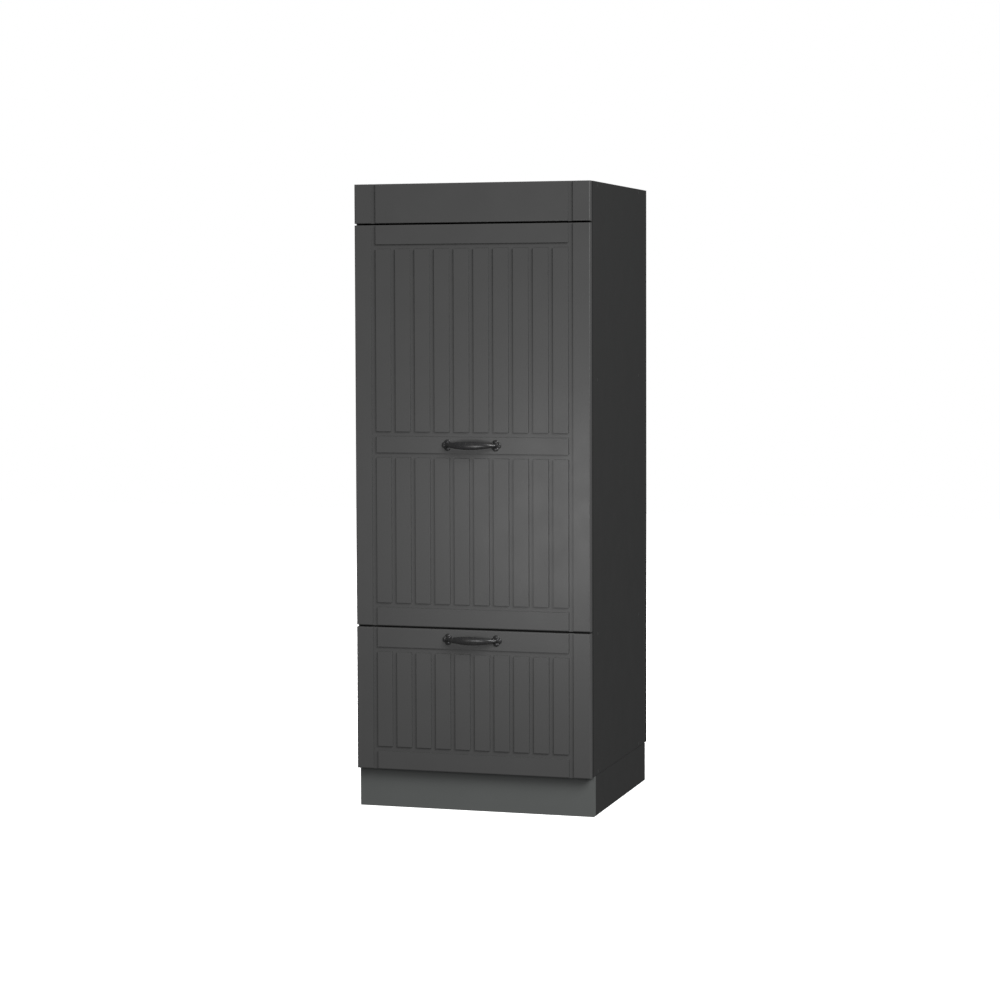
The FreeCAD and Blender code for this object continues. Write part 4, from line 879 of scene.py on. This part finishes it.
@dataclass
class MilledFront:
    """A front of milled board: stiles, rails and slats between routed grooves."""

    node: str
    name: str
    body: Body
    rails: tuple[float, ...] = ()
    pockets: tuple[str, ...] = ()
    slat_pitch: float = 50 * MM
    stile_groove: float = 250 * MM
    mouth: float = 12.4 * MM
    floor: float = 11.8 * MM
    depth: float = 4 * MM
    edge_radius: float = 2.5 * MM
    back_ease: float = 0.6 * MM
    pocket_radius: float = 17.6 * MM
    pocket_depth: float = 14.2 * MM
    pocket_inset: float = 0.1 * MM
    relay_pitch: float = 65 * MM
    sharp_angle: float = 40.0

    WALL_STEPS = (-0.12, 0.0, 0.1, 0.2, 0.3, 0.4, 0.5, 0.6, 0.7, 0.8, 0.9, 1.0, 1.12)
    EDGE_STEPS = (0.0, 0.03, 0.12, 0.27, 0.45, 0.68, 1.0, 1.15)
    BACK_STEPS = ((0.0, 1.0), (0.3, 0.3), (1.0, 0.0))
    NOWHERE = -10.0  # level of a cross groove that the front doesn't have

    def marks(self, low: float, high: float, centres: Iterable[float],
              relays: Iterable[float] = ()) -> list[float]:
        """Grid lines across one direction of the face.

        Args:
            low: Lower edge.
            high: Higher edge.
            centres: Centre lines of the grooves that run across this direction.
            relays: Extra lines where nothing bends.

        Returns:
            Line places in rising order, close together where the face bends.
        """
        places = set(relays)
        for share in self.EDGE_STEPS:
            places.update((low + share * self.edge_radius, high - share * self.edge_radius))
        wall = (self.mouth - self.floor) / 2
        for centre in centres:
            places.add(centre)
            for share in self.WALL_STEPS:
                half = self.mouth / 2 - share * wall
                places.update((centre - half, centre + half))
        return sorted({snapped(place) for place in places})

    def blank(self, low: Vector, high: Vector) -> Mesh:
        """Flat board with a face grid that is fine only where the router goes.

        Its back is closed with cells, so that a pocket cuts only small faces.

        Args:
            low: The front's lowest corner.
            high: Its highest corner.

        Returns:
            A closed board.
        """
        steps = round(self.stile_groove / self.slat_pitch)
        uprights = [self.slat_pitch * step for step in range(-steps, steps + 1)]
        relays = self.relays(low.z, high.z)
        xs = self.marks(low.x, high.x, uprights)
        zs = self.marks(low.z, high.z, self.levels(low), relays)
        columns = [0, *(xs.index(snapped(x)) for x in uprights), len(xs) - 1]
        rows = [0, *(zs.index(snapped(z)) for z in relays), len(zs) - 1]
        wide, tall = len(xs), len(zs)
        points = [(x, low.y, z) for z in zs for x in xs]
        faces = []
        for row in range(tall - 1):
            for column in range(wide - 1):
                first = row * wide + column
                faces.append((first, first + 1, first + wide + 1, first + wide))
        rim = [(column, 0) for column in range(wide)]
        rim += [(wide - 1, row) for row in range(1, tall)]
        rim += [(column, tall - 1) for column in range(wide - 2, -1, -1)]
        rim += [(0, row) for row in range(tall - 2, 0, -1)]
        rings = [[row * wide + column for column, row in rim]]
        for inward, back in self.BACK_STEPS:
            inset, y = inward * self.back_ease, high.y - back * self.back_ease
            rings.append(list(range(len(points), len(points) + len(rim))))
            points += [(min(max(xs[column], low.x + inset), high.x - inset), y,
                        min(max(zs[row], low.z + inset), high.z - inset)) for column, row in rim]
        for outer, inner in zip(rings, rings[1:]):
            for step in range(len(rim)):
                following = (step + 1) % len(rim)
                faces.append((outer[step], outer[following], inner[following], inner[step]))
        known = dict(zip(rim, rings[-1]))

        def corner(column: int, row: int) -> int:
            """Number of the back's point at a crossing of two lines."""
            if (column, row) not in known:
                known[column, row] = len(points)
                points.append((xs[column], high.y, zs[row]))
            return known[column, row]

        for left, right in zip(columns, columns[1:]):
            for bottom, top in zip(rows, rows[1:]):
                walk = [(k, bottom) for k in (range(left, right) if bottom == 0 else (left,))]
                walk += [(right, k) for k in (range(bottom, top) if right == wide - 1 else (bottom,))]
                walk += [(k, top) for k in (range(right, left, -1) if top == tall - 1 else (right,))]
                walk += [(left, k) for k in (range(top, bottom, -1) if left == 0 else (top,))]
                faces.append(tuple(corner(*crossing) for crossing in walk))
        return new_mesh(self.name, points, faces)

    def relays(self, low: float, high: float) -> list[float]:
        """Heights of extra lines, evenly spread over the front."""
        steps = max(1, round((high - low) / self.relay_pitch))
        return [low + (high - low) * step / steps for step in range(1, steps)]

    def levels(self, low: Vector) -> list[float]:
        """Heights of the cross grooves."""
        return [low.z + rail for rail in self.rails]

    def build(self, shop: Workshop) -> None:
        """Mill the front and hand it in."""
        low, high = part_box(self.node)
        levels = (self.levels(low) + [self.NOWHERE] * CROSS_GROOVES)[:CROSS_GROOVES]
        finish = shop.material(Slot.FRONT)
        values = {"Slat pitch": self.slat_pitch, "Groove mouth": self.mouth, "Groove floor": self.floor,
                  "Groove depth": self.depth, "Stile groove place": self.stile_groove,
                  "Edge radius": self.edge_radius, "Half width": high.x, "Low edge": low.z,
                  "High edge": high.z, "Face": low.y, "Finish": finish}
        for number, level in enumerate(levels, start=1):
            values["Cross groove %d" % number] = level
        mesh = grow(self.blank(low, high), relief_tree(), values)
        outward(mesh, MILLED_MERGE_GAP)
        if self.pockets:
            mesh = self.bored(mesh, high.y, finish)
        shop.deliver(mesh, self.name, self.body, Slot.FRONT, self.node, angle=self.sharp_angle)

    def bored(self, mesh: Mesh, back: float, finish: Material) -> Mesh:
        """Bore the hinge pockets.

        Args:
            mesh: The milled front.
            back: Where its back face is.
            finish: Its material.

        Returns:
            The bored front.
        """
        places = []
        for node in self.pockets:
            cup_low, cup_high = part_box(node)
            places.append((cup_low.x + self.pocket_radius - self.pocket_inset, back,
                           (cup_low.z + cup_high.z) / 2))
        cloud = point_cloud("pocket_places", places, [(0, 1, 0)] * len(places))
        return grow(mesh, pocket_tree(), {
            "Pocket radius": self.pocket_radius, "Pocket depth": self.pocket_depth,
            "Places": bpy.data.objects.new("pocket_places", cloud), "Finish": finish})


# Handles


@dataclass(frozen=True)
class Seat:
    """Where a handle stands: its front's face, its height and half its rosettes' distance."""

    face: float
    level: float
    half: float


@dataclass
class BowHandle:
    """A swelled bow between two petal rosettes."""

    name: str
    body: Body
    foot_radius: float = 5.6 * MM
    neck_radius: float = 3.9 * MM
    bead_radius: float = 5.0 * MM
    middle_half_height: float = 10 * MM
    middle_half_thickness: float = 5.5 * MM
    swell_power: float = 2.2
    stations: int = 97
    flare_end: float = 0.12
    bead_place: float = 0.24
    bead_width: float = 0.045
    sunk_share: float = 0.6
    petals: int = 4
    petal_reach: float = 0.45
    petal_width: float = 1.5
    petal_pinch: float = 0.22
    petal_taper: float = 0.2
    petal_foot: float = 0.08
    petal_rise: float = 0.88
    rosette_radius: float = 13 * MM
    rosette_height: float = 3.5 * MM
    bow_sharp_angle: float = 60.0
    rosette_sharp_angle: float = 50.0

    BOSS_PLATE = ((0.86, 0.0), (0.88, 0.3), (0.8, 0.42), (0.5, 0.5))
    BOSS_COLLAR = ((1.25, 0.75), (1.1, 0.98), (0.7, 1.0))
    PETAL_DOME = ((0.0, 1.0), (0.28, 0.99), (0.5, 0.93), (0.7, 0.8), (0.86, 0.6), (0.96, 0.34), (1.0, 0.1))

    def build(self, shop: Workshop) -> None:
        """Build the bow and its rosettes from the handle's CAD boxes."""
        low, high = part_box(self.name + "_rosettes")
        seat = Seat(high.y, (low.z + high.z) / 2, high.x - self.rosette_radius)
        self.build_bow(shop, self.name + "_grip", seat)
        self.build_rosettes(shop, self.name + "_rosettes", seat)

    def sizes_at(self, turn: float) -> tuple[float, float]:
        """Half height and half thickness of the bow.

        Args:
            turn: Angle along the half ellipse, from 0 at one foot to pi at the other.

        Returns:
            The two half sizes.
        """
        swell = math.sin(turn) ** self.swell_power
        tall = self.neck_radius + (self.middle_half_height - self.neck_radius) * swell
        thick = self.neck_radius + (self.middle_half_thickness - self.neck_radius) * swell
        from_foot = min(turn, math.pi - turn)
        flare = (self.foot_radius - self.neck_radius) * max(0.0, 1 - from_foot / self.flare_end) ** 2
        off_bead = (from_foot - self.bead_place) / self.bead_width
        bead = (self.bead_radius - self.neck_radius) * math.exp(-off_bead ** 2)
        return tall + flare + bead, thick + flare + bead

    def build_bow(self, shop: Workshop, node: str, seat: Seat) -> None:
        """Sweep the bow.

        Args:
            shop: The workshop that takes the piece.
            node: The CAD grip.
            seat: Where the handle stands.
        """
        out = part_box(node)[0].y
        foot, half = seat.face - self.rosette_height, seat.half
        rise = foot - out - self.middle_half_thickness
        rings = []
        for station in range(self.stations):
            turn = math.pi * station / (self.stations - 1)
            centre = Vector((-half * math.cos(turn), foot - rise * math.sin(turn), seat.level))
            along = Vector((half * math.sin(turn), -rise * math.cos(turn), 0)).normalized()
            across = along.cross(Vector((0, 0, 1)))
            tall, thick = self.sizes_at(turn)
            rings.append([tuple(centre + across * x * thick + Vector((0, 0, y * tall)))
                          for x, y, _ in circle(1.0, 0.0)])
        sunk = Vector((0, self.rosette_height * self.sunk_share, 0))
        rings.insert(0, [tuple(Vector(point) + sunk) for point in rings[0]])
        rings.append([tuple(Vector(point) + sunk) for point in rings[-1]])
        shop.deliver(skin(node, rings), self.name + "_bow", self.body, Slot.HANDLE, node,
                     angle=self.bow_sharp_angle)

    def petal(self) -> Mesh:
        """One domed petal that lies on XY and points along X."""
        reach = self.rosette_radius * self.petal_reach
        middle = self.rosette_radius - reach
        rings = [[(middle + reach * share * x * (1 - self.petal_pinch * y * y),
                   reach * self.petal_width * share * y * (1 - self.petal_taper + self.petal_taper * x),
                   self.rosette_height * (self.petal_foot + self.petal_rise * lift))
                  for x, y, _ in circle(1.0, 0.0)]
                 for lift, share in self.PETAL_DOME]
        rings.insert(0, [(x, y, 0.0) for x, y, _ in rings[0]])
        return skin("petal", rings)

    def build_rosettes(self, shop: Workshop, node: str, seat: Seat) -> None:
        """Set a ring of petals and a boss on both feet.

        Args:
            shop: The workshop that takes the piece.
            node: The CAD rosettes.
            seat: Where the handle stands.
        """
        tree = GrowTree("rosettes")
        count = tree.asks("Petals", "Int")
        petal, boss = tree.asks("Petal", "Object"), tree.asks("Boss", "Object")
        ring = tree.node("GeometryNodeMeshCircle", {"Vertices": count, "Radius": 1 * MM})
        outwards = tree.node("GeometryNodeStoreNamedAttribute", {
            "Geometry": ring.outputs[0], "Name": "aim",
            "Value": tree.node("GeometryNodeInputPosition").outputs[0]}, data_type="FLOAT_VECTOR")
        circle_of_petals = tree.place_copies(outwards.outputs[0], petal, "X")
        centred = tree.node("GeometryNodeSetPosition", {"Geometry": circle_of_petals, "Position": (0, 0, 0)})
        middle = tree.node("GeometryNodeObjectInfo", {"Object": boss})
        whole = tree.node("GeometryNodeJoinGeometry")
        tree.feed(whole.inputs[0], centred.outputs[0])
        tree.feed(whole.inputs[0], middle.outputs["Geometry"])
        aim = tree.node("GeometryNodeInputNamedAttribute", {"Name": "aim"}, data_type="FLOAT_VECTOR")
        turn = tree.node("FunctionNodeAlignRotationToVector", {"Vector": aim.outputs[0]}, axis="Z")
        copies = tree.node("GeometryNodeInstanceOnPoints", {
            "Points": tree.start, "Instance": whole.outputs[0], "Rotation": turn.outputs[0]})
        tree.close(copies.outputs[0])
        feet = point_cloud(node, [(side * seat.half, seat.face, seat.level) for side in (-1, 1)],
                           [(0, -1, 0)] * 2)
        base = turned("boss", [(radius * wide, self.rosette_height * level) for radius, shape in (
            (self.rosette_radius, self.BOSS_PLATE), (self.foot_radius, self.BOSS_COLLAR))
            for wide, level in shape])
        mesh = grow(feet, tree, {"Petals": self.petals, "Petal": shop.shape(self.petal()),
                                 "Boss": shop.shape(base), "Finish": shop.material(Slot.HANDLE)})
        shop.deliver(mesh, self.name + "_petal_rosettes", self.body, Slot.HANDLE, node,
                     angle=self.rosette_sharp_angle)


# Sub-assemblies made from eased CAD solids


@dataclass
class EasedGroup:
    """CAD solids of one kind whose sharp edges are eased."""

    title: str
    body: Body
    slot: Slot
    nodes: tuple[str, ...]
    width: float

    def build(self, shop: Workshop) -> None:
        """Ease every node of the group."""
        log.info("%s", self.title)
        for node in self.nodes:
            shop.ease(node, self.width, self.body, self.slot)


@dataclass
class EasedAssembly:
    """A sub-assembly of eased groups. Each kind has its own list of groups."""

    sheet_edge: float = 0.25 * MM

    def groups(self) -> tuple[EasedGroup, ...]:
        """The groups in order."""
        return ()

    def build(self, shop: Workshop) -> None:
        """Ease every group."""
        for group in self.groups():
            group.build(shop)


@dataclass
class Carcass(EasedAssembly):
    """Sides, boards, shelves and back of the cabinet, with its pins and brackets."""

    board_edge: float = 0.7 * MM

    def groups(self) -> tuple[EasedGroup, ...]:
        """Boards, back, and brackets and pins."""
        return (
            EasedGroup("carcass boards", Body.CABINET, Slot.CARCASS, (
                "side_left", "side_right", "top_board", "bottom_board", "centre_shelf",
                "drawer_divider_shelf", "loose_shelf_upper", "loose_shelf_lower"), self.board_edge),
            EasedGroup("back", Body.CABINET, Slot.BACK, ("back_panel",), self.sheet_edge),
            EasedGroup("brackets and pins", Body.CABINET, Slot.NICKEL, (
                "shelf_pins", "top_panel_brackets", "wall_brackets"), self.sheet_edge),
        )


@dataclass
class Plinth(EasedAssembly):
    """Plinth boards, clips and adjustable legs."""

    board_edge: float = 0.8 * MM
    moulding_edge: float = 0.5 * MM

    def groups(self) -> tuple[EasedGroup, ...]:
        """Front, sides, and legs and clips."""
        return (
            EasedGroup("plinth front", Body.CABINET, Slot.PLINTH, ("plinth_front",), self.board_edge),
            EasedGroup("plinth sides", Body.CABINET, Slot.CARCASS, ("plinth_left", "plinth_right"),
                       self.board_edge),
            EasedGroup("legs and clips", Body.CABINET, Slot.LEG, (
                "leg_sockets", "levelling_feet", "plinth_clips"), self.moulding_edge),
        )


@dataclass
class ConcealedHinges(EasedAssembly):
    """Cups in the door, arms and plates on the side."""

    def groups(self) -> tuple[EasedGroup, ...]:
        """Cups with their pins, and arms with their plates."""
        places = ("top", "middle", "bottom")
        cups = tuple("hinge_cup_" + place for place in places) + ("hinge_pins",)
        arms = tuple("hinge_%s_%s" % (kind, place) for kind in ("arm", "plate") for place in places)
        return (EasedGroup("hinge cups", Body.DOOR, Slot.NICKEL, cups, self.sheet_edge),
                EasedGroup("hinge arms and plates", Body.CABINET, Slot.NICKEL, arms, self.sheet_edge))


@dataclass
class DrawerBox(EasedAssembly):
    """The drawer's box of thin boards, on three-part ball runners."""

    board_edge: float = 0.6 * MM
    thin_edge: float = 0.3 * MM
    ball_rings: int = 9
    ball_points: int = 16
    ball_pole: float = 0.04

    def groups(self) -> tuple[EasedGroup, ...]:
        """Boards, bottom and the runners' members."""
        boards = ("drawer_side_left", "drawer_side_right", "drawer_inner_front", "drawer_back")
        riders = {"outer": Body.CABINET, "middle": Body.RUNNER_MIDDLE, "inner": Body.DRAWER}
        members = [EasedGroup(kind + " runner members", body, Slot.ZINC,
                              ("runner_%s_left" % kind, "runner_%s_right" % kind), self.thin_edge)
                   for kind, body in riders.items()]
        return (EasedGroup("drawer boards", Body.DRAWER, Slot.DRAWER, boards, self.board_edge),
                EasedGroup("drawer bottom", Body.DRAWER, Slot.DRAWER, ("drawer_bottom",), self.thin_edge),
                *members)

    def build(self, shop: Workshop) -> None:
        """Ease the groups and put the balls in."""
        super().build(shop)
        for hand in ("left", "right"):
            node = "runner_balls_" + hand
            shop.scatter(node, node + "_polished", Body.RUNNER_MIDDLE, Slot.BALL, Aim.LONGEST, self.ball)

    def ball(self, solid: Solid) -> Mesh:
        """A ball whose top is at the origin."""
        profile = []
        for ring in range(self.ball_rings):
            turn = math.pi * (self.ball_pole + (1 - 2 * self.ball_pole) * ring / (self.ball_rings - 1))
            profile.append((solid.radius * math.sin(turn), solid.radius * (math.cos(turn) - 1)))
        return turned("ball", profile, self.ball_points)


# Fasteners


@dataclass(frozen=True)
class Screw:
    """One kind of screw: where it goes, its shank's radius and its head's height."""

    node: str
    body: Body
    slot: Slot = Slot.ZINC
    shank: float = 1.75 * MM
    head: float = 1.4 * MM


@dataclass
class Fasteners:
    """Screws, caps, dowels and bumpers."""

    run_slack: float = 0.1 * MM
    cap_shape: Profile = ((0.8, -1.0), (0.97, -0.9), (1.0, -0.5), (0.98, -0.2), (0.9, -0.08), (0.6, -0.02),
                          (0.1, 0.0))
    dowel_shape: Profile = ((0.82, 0.0), (1.0, -0.04), (1.0, -0.96), (0.82, -1.0))
    dowel_flute: float = 0.94
    bumper_rim: float = 0.82
    bumper_turns: tuple[float, ...] = (0.3, 0.6, 0.9, 1.2, 1.45)
    head_shape: Profile = ((0.94, -1.0), (1.0, -0.82), (0.97, -0.45), (0.82, -0.12), (0.7, 0.0))
    recess_half_length: float = 0.62
    recess_depth: float = 0.55
    recess_taper: float = 0.86
    threads: int = 8
    thread_rise: float = 0.12
    thread_start: float = 0.92
    thread_end: float = 0.12
    root_place: float = 0.15
    crest_place: float = 0.5
    tip_radius: float = 0.25
    point_radius: float = 0.8
    point_place: float = 0.94

    def build(self, shop: Workshop) -> None:
        """Replace every fastener's plain solid."""
        screws = (
            Screw("cabinet_wood_screws", Body.CABINET),
            Screw("carcass_screws", Body.CABINET, shank=3 * MM, head=2.5 * MM),
            Screw("hinge_cup_screws", Body.DOOR),
            Screw("drawer_front_screws", Body.DRAWER),
            Screw("drawer_corner_screws", Body.DRAWER, head=1 * MM),
            Screw("runner_drawer_screws", Body.DRAWER),
            Screw("door_handle_screws", Body.DOOR, Slot.NICKEL, 2 * MM, 1.6 * MM),
            Screw("drawer_handle_screws", Body.DRAWER, Slot.NICKEL, 2 * MM, 1.6 * MM),
        )
        for number, kind in enumerate(screws):
            shop.scatter(kind.node, kind.node + "_cross_head", kind.body, kind.slot, Aim.LONGEST,
                         partial(self.screw, kind), seed=number)
        shop.scatter("screw_cover_caps", "screw_caps", Body.CABINET, Slot.CAP, Aim.SHORTEST, self.cap)
        shop.scatter("wood_dowels", "fluted_dowels", Body.CABINET, Slot.DOWEL, Aim.LONGEST, self.dowel)
        for front, body in (("door", Body.DOOR), ("drawer", Body.DRAWER)):
            shop.scatter(front + "_bumpers", front + "_soft_bumpers", body, Slot.BUMPER, Aim.SHORTEST,
                         self.bumper)

    def cross(self, reach: float, height: float) -> list[Point]:
        """Outline of a cross recess, with its corners on the ring's own steps."""
        arm = math.tan(FULL_TURN / RING_POINTS)
        outline = []
        for x, y, _ in circle(1.0, 0.0):
            wide, tall = max(abs(x), abs(y)), max(min(abs(x), abs(y)), TINY)
            scale = min(reach / wide, reach * arm / tall)
            outline.append((x * scale, y * scale, height))
        return outline

    def screw(self, kind: Screw, solid: Solid) -> Mesh:
        """Cross-head screw with its head's top at the origin.

        Args:
            kind: The kind of screw.
            solid: The CAD screw, for its length and head radius.

        Returns:
            The screw's mesh.
        """
        radius, length, head = solid.radius, solid.length, kind.head
        root = kind.shank * (1 - self.thread_rise) - self.run_slack
        crest = kind.shank - self.run_slack
        rings = [circle(root * self.tip_radius, -length + self.run_slack),
                 circle(root * self.point_radius, -length * self.point_place)]
        start, end = -length * self.thread_start, -head - self.thread_end * length
        pitch = (end - start) / self.threads
        for turn in range(self.threads):
            rings.append(circle(root, start + pitch * (turn + self.root_place)))
            rings.append(circle(crest, start + pitch * (turn + self.crest_place)))
        rings += [circle(root, end), circle(root, -head)]
        rings += [circle(radius * wide, head * level) for wide, level in self.head_shape]
        reach = radius * self.recess_half_length
        rings += [self.cross(reach, 0.0), self.cross(reach * self.recess_taper, -head * self.recess_depth)]
        return skin("screw", rings)

    def cap(self, solid: Solid) -> Mesh:
        """Pressed-in cover cap, faintly domed."""
        return turned("cap", [(solid.radius * wide, solid.length * level) for wide, level in self.cap_shape])

    def dowel(self, solid: Solid) -> Mesh:
        """Fluted dowel with chamfered ends."""
        rings = []
        for wide, level in self.dowel_shape:
            flutes = enumerate(circle(solid.radius * wide, solid.length * level))
            rings.append([(x * self.dowel_flute, y * self.dowel_flute, z) if step % 2 else (x, y, z)
                          for step, (x, y, z) in flutes])
        return skin("dowel", rings)

    def bumper(self, solid: Solid) -> Mesh:
        """Soft stick-on dome."""
        radius, height = solid.radius, solid.length
        rim = self.bumper_rim
        profile = [(radius, -height), (radius, -height * rim)]
        profile += [(radius * math.cos(a), height * (math.sin(a) * rim - rim)) for a in self.bumper_turns]
        return turned("bumper", profile)


# Studio


@dataclass(frozen=True)
class Lamp:
    """A soft rectangular light: its power in watts, place, face and the point that it looks at."""

    name: str
    power: float
    place: Point
    size: tuple[float, float]
    target: Point = (0.0, 0.0, 0.8)
    in_gloss: bool = True

    def build(self) -> None:
        """Hang the lamp."""
        data = bpy.data.lights.new(self.name, "AREA")
        data.shape = "RECTANGLE"
        data.size, data.size_y = self.size
        data.energy = self.power
        light = hang(self.name, data)
        turn = (Vector(self.target) - Vector(self.place)).to_track_quat("-Z", "Y")
        light.matrix_world = Matrix.Translation(self.place) @ turn.to_matrix().to_4x4()
        light.visible_camera = False
        light.visible_glossy = self.in_gloss


@dataclass
class Studio:
    """Camera, lights, background and floor."""

    lens: float = 93.733
    sensor: float = 36.0
    shift: tuple[float, float] = (0.0, -0.055)
    stand: Point = (1.8798, -6.3025, 1.2243)
    yaw: float = 16.6813
    pitch: float = 2.927
    roll: float = -0.1885
    sight: float = 100.0
    floor_half: float = 9.0
    floor_roughness: float = 0.9
    floor_white: float = 0.8
    floor_glow: float = 0.93
    background: float = 1.0
    ambient: float = 0.2
    lamps: tuple[Lamp, ...] = (
        Lamp("key", 434.0, (4.0, -3.7, 4.2), (3.4, 3.4)),
        Lamp("sheen", 4.2, (-0.06, -1.75, 0.62), (0.5, 0.5), target=(0.0, -0.27, 0.8)),
        Lamp("rear", 260.0, (-2.2, 3.4, 4.4), (2.5, 2.5), in_gloss=False),
    )

    def build(self) -> None:
        """Set up the whole studio."""
        self.build_camera()
        self.build_world()
        for lamp in self.lamps:
            lamp.build()
        self.build_floor()
        bpy.context.scene.view_settings.view_transform = "Standard"

    def build_camera(self) -> None:
        """Stand the camera and turn it by its yaw, pitch and roll."""
        data = bpy.data.cameras.new("camera")
        data.lens, data.sensor_width = self.lens, self.sensor
        data.shift_x, data.shift_y = self.shift
        data.clip_end = self.sight
        camera = hang("camera", data)
        yaw, pitch, roll = (math.radians(angle) for angle in (self.yaw, self.pitch, self.roll))
        turn = (Matrix.Rotation(yaw, 4, "Z") @ Matrix.Rotation(math.pi / 2 - pitch, 4, "X")
                @ Matrix.Rotation(roll, 4, "Z"))
        camera.matrix_world = Matrix.Translation(self.stand) @ turn
        bpy.context.scene.camera = camera

    def build_world(self) -> None:
        """White background, with a softer light of its own on the object."""
        world = bpy.data.worlds.new("studio")
        world.use_nodes = True
        world.node_tree.nodes.clear()
        pen = NodePen(world.node_tree)
        seen = pen.node("ShaderNodeLightPath").outputs["Is Camera Ray"]
        strength = pen.remap(seen, (0.0, 1.0), (self.ambient, self.background))
        sky = pen.node("ShaderNodeBackground", {"Color": (1, 1, 1, 1), "Strength": strength})
        out = pen.node("ShaderNodeOutputWorld")
        pen.feed(out.inputs[0], sky.outputs[0])
        bpy.context.scene.world = world

    def build_floor(self) -> None:
        """Lay a pale floor that glows faintly and takes almost no shadow."""
        half = self.floor_half
        corners = [(-half, -half, 0), (half, -half, 0), (half, half, 0), (-half, half, 0)]
        mesh = new_mesh("floor", corners, [(0, 1, 2, 3)])
        material = bpy.data.materials.new("pale_floor")
        material.use_nodes = True
        shader = material.node_tree.nodes["Principled BSDF"]
        white = self.floor_white
        for name, value in (("Base Color", (white, white, white, 1)), ("Roughness", self.floor_roughness),
                            ("Emission Color", (1, 1, 1, 1)), ("Emission Strength", self.floor_glow)):
            shader.inputs[name].default_value = value
        mesh.materials.append(material)
        floor = hang("floor", mesh)
        floor.visible_diffuse = False
        floor.visible_glossy = False


# The cabinet


def fronts() -> tuple[MilledFront, ...]:
    """The three fronts, with their cross grooves' heights above their lower edges."""
    hinges = ("hinge_cup_top", "hinge_cup_middle", "hinge_cup_bottom")
    return (
        MilledFront("top_panel", "top_panel_milled", Body.CABINET),
        MilledFront("door_panel", "door_milled", Body.DOOR,
                    rails=(51.5 * MM, 421 * MM, 473 * MM, 930.5 * MM), pockets=hinges),
        MilledFront("drawer_front", "drawer_front_milled", Body.DRAWER, rails=(51 * MM, 297.5 * MM)),
    )


def main() -> None:
    """Build the cabinet's pieces in order, then the studio."""
    logging.basicConfig(level=logging.INFO, format="%(message)s")
    shop = Workshop()
    for front in fronts():
        front.build(shop)
    for handle in (BowHandle("door_handle", Body.DOOR), BowHandle("drawer_handle", Body.DRAWER)):
        handle.build(shop)
    for assembly in (Carcass(), Plinth(), ConcealedHinges(), DrawerBox(), Fasteners()):
        assembly.build(shop)
    left = sorted(set(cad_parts) - shop.taken)
    log.info("CAD nodes still shown: %s", ", ".join(left) or "none")
    Studio().build()


if __name__ == "__main__":
    main()
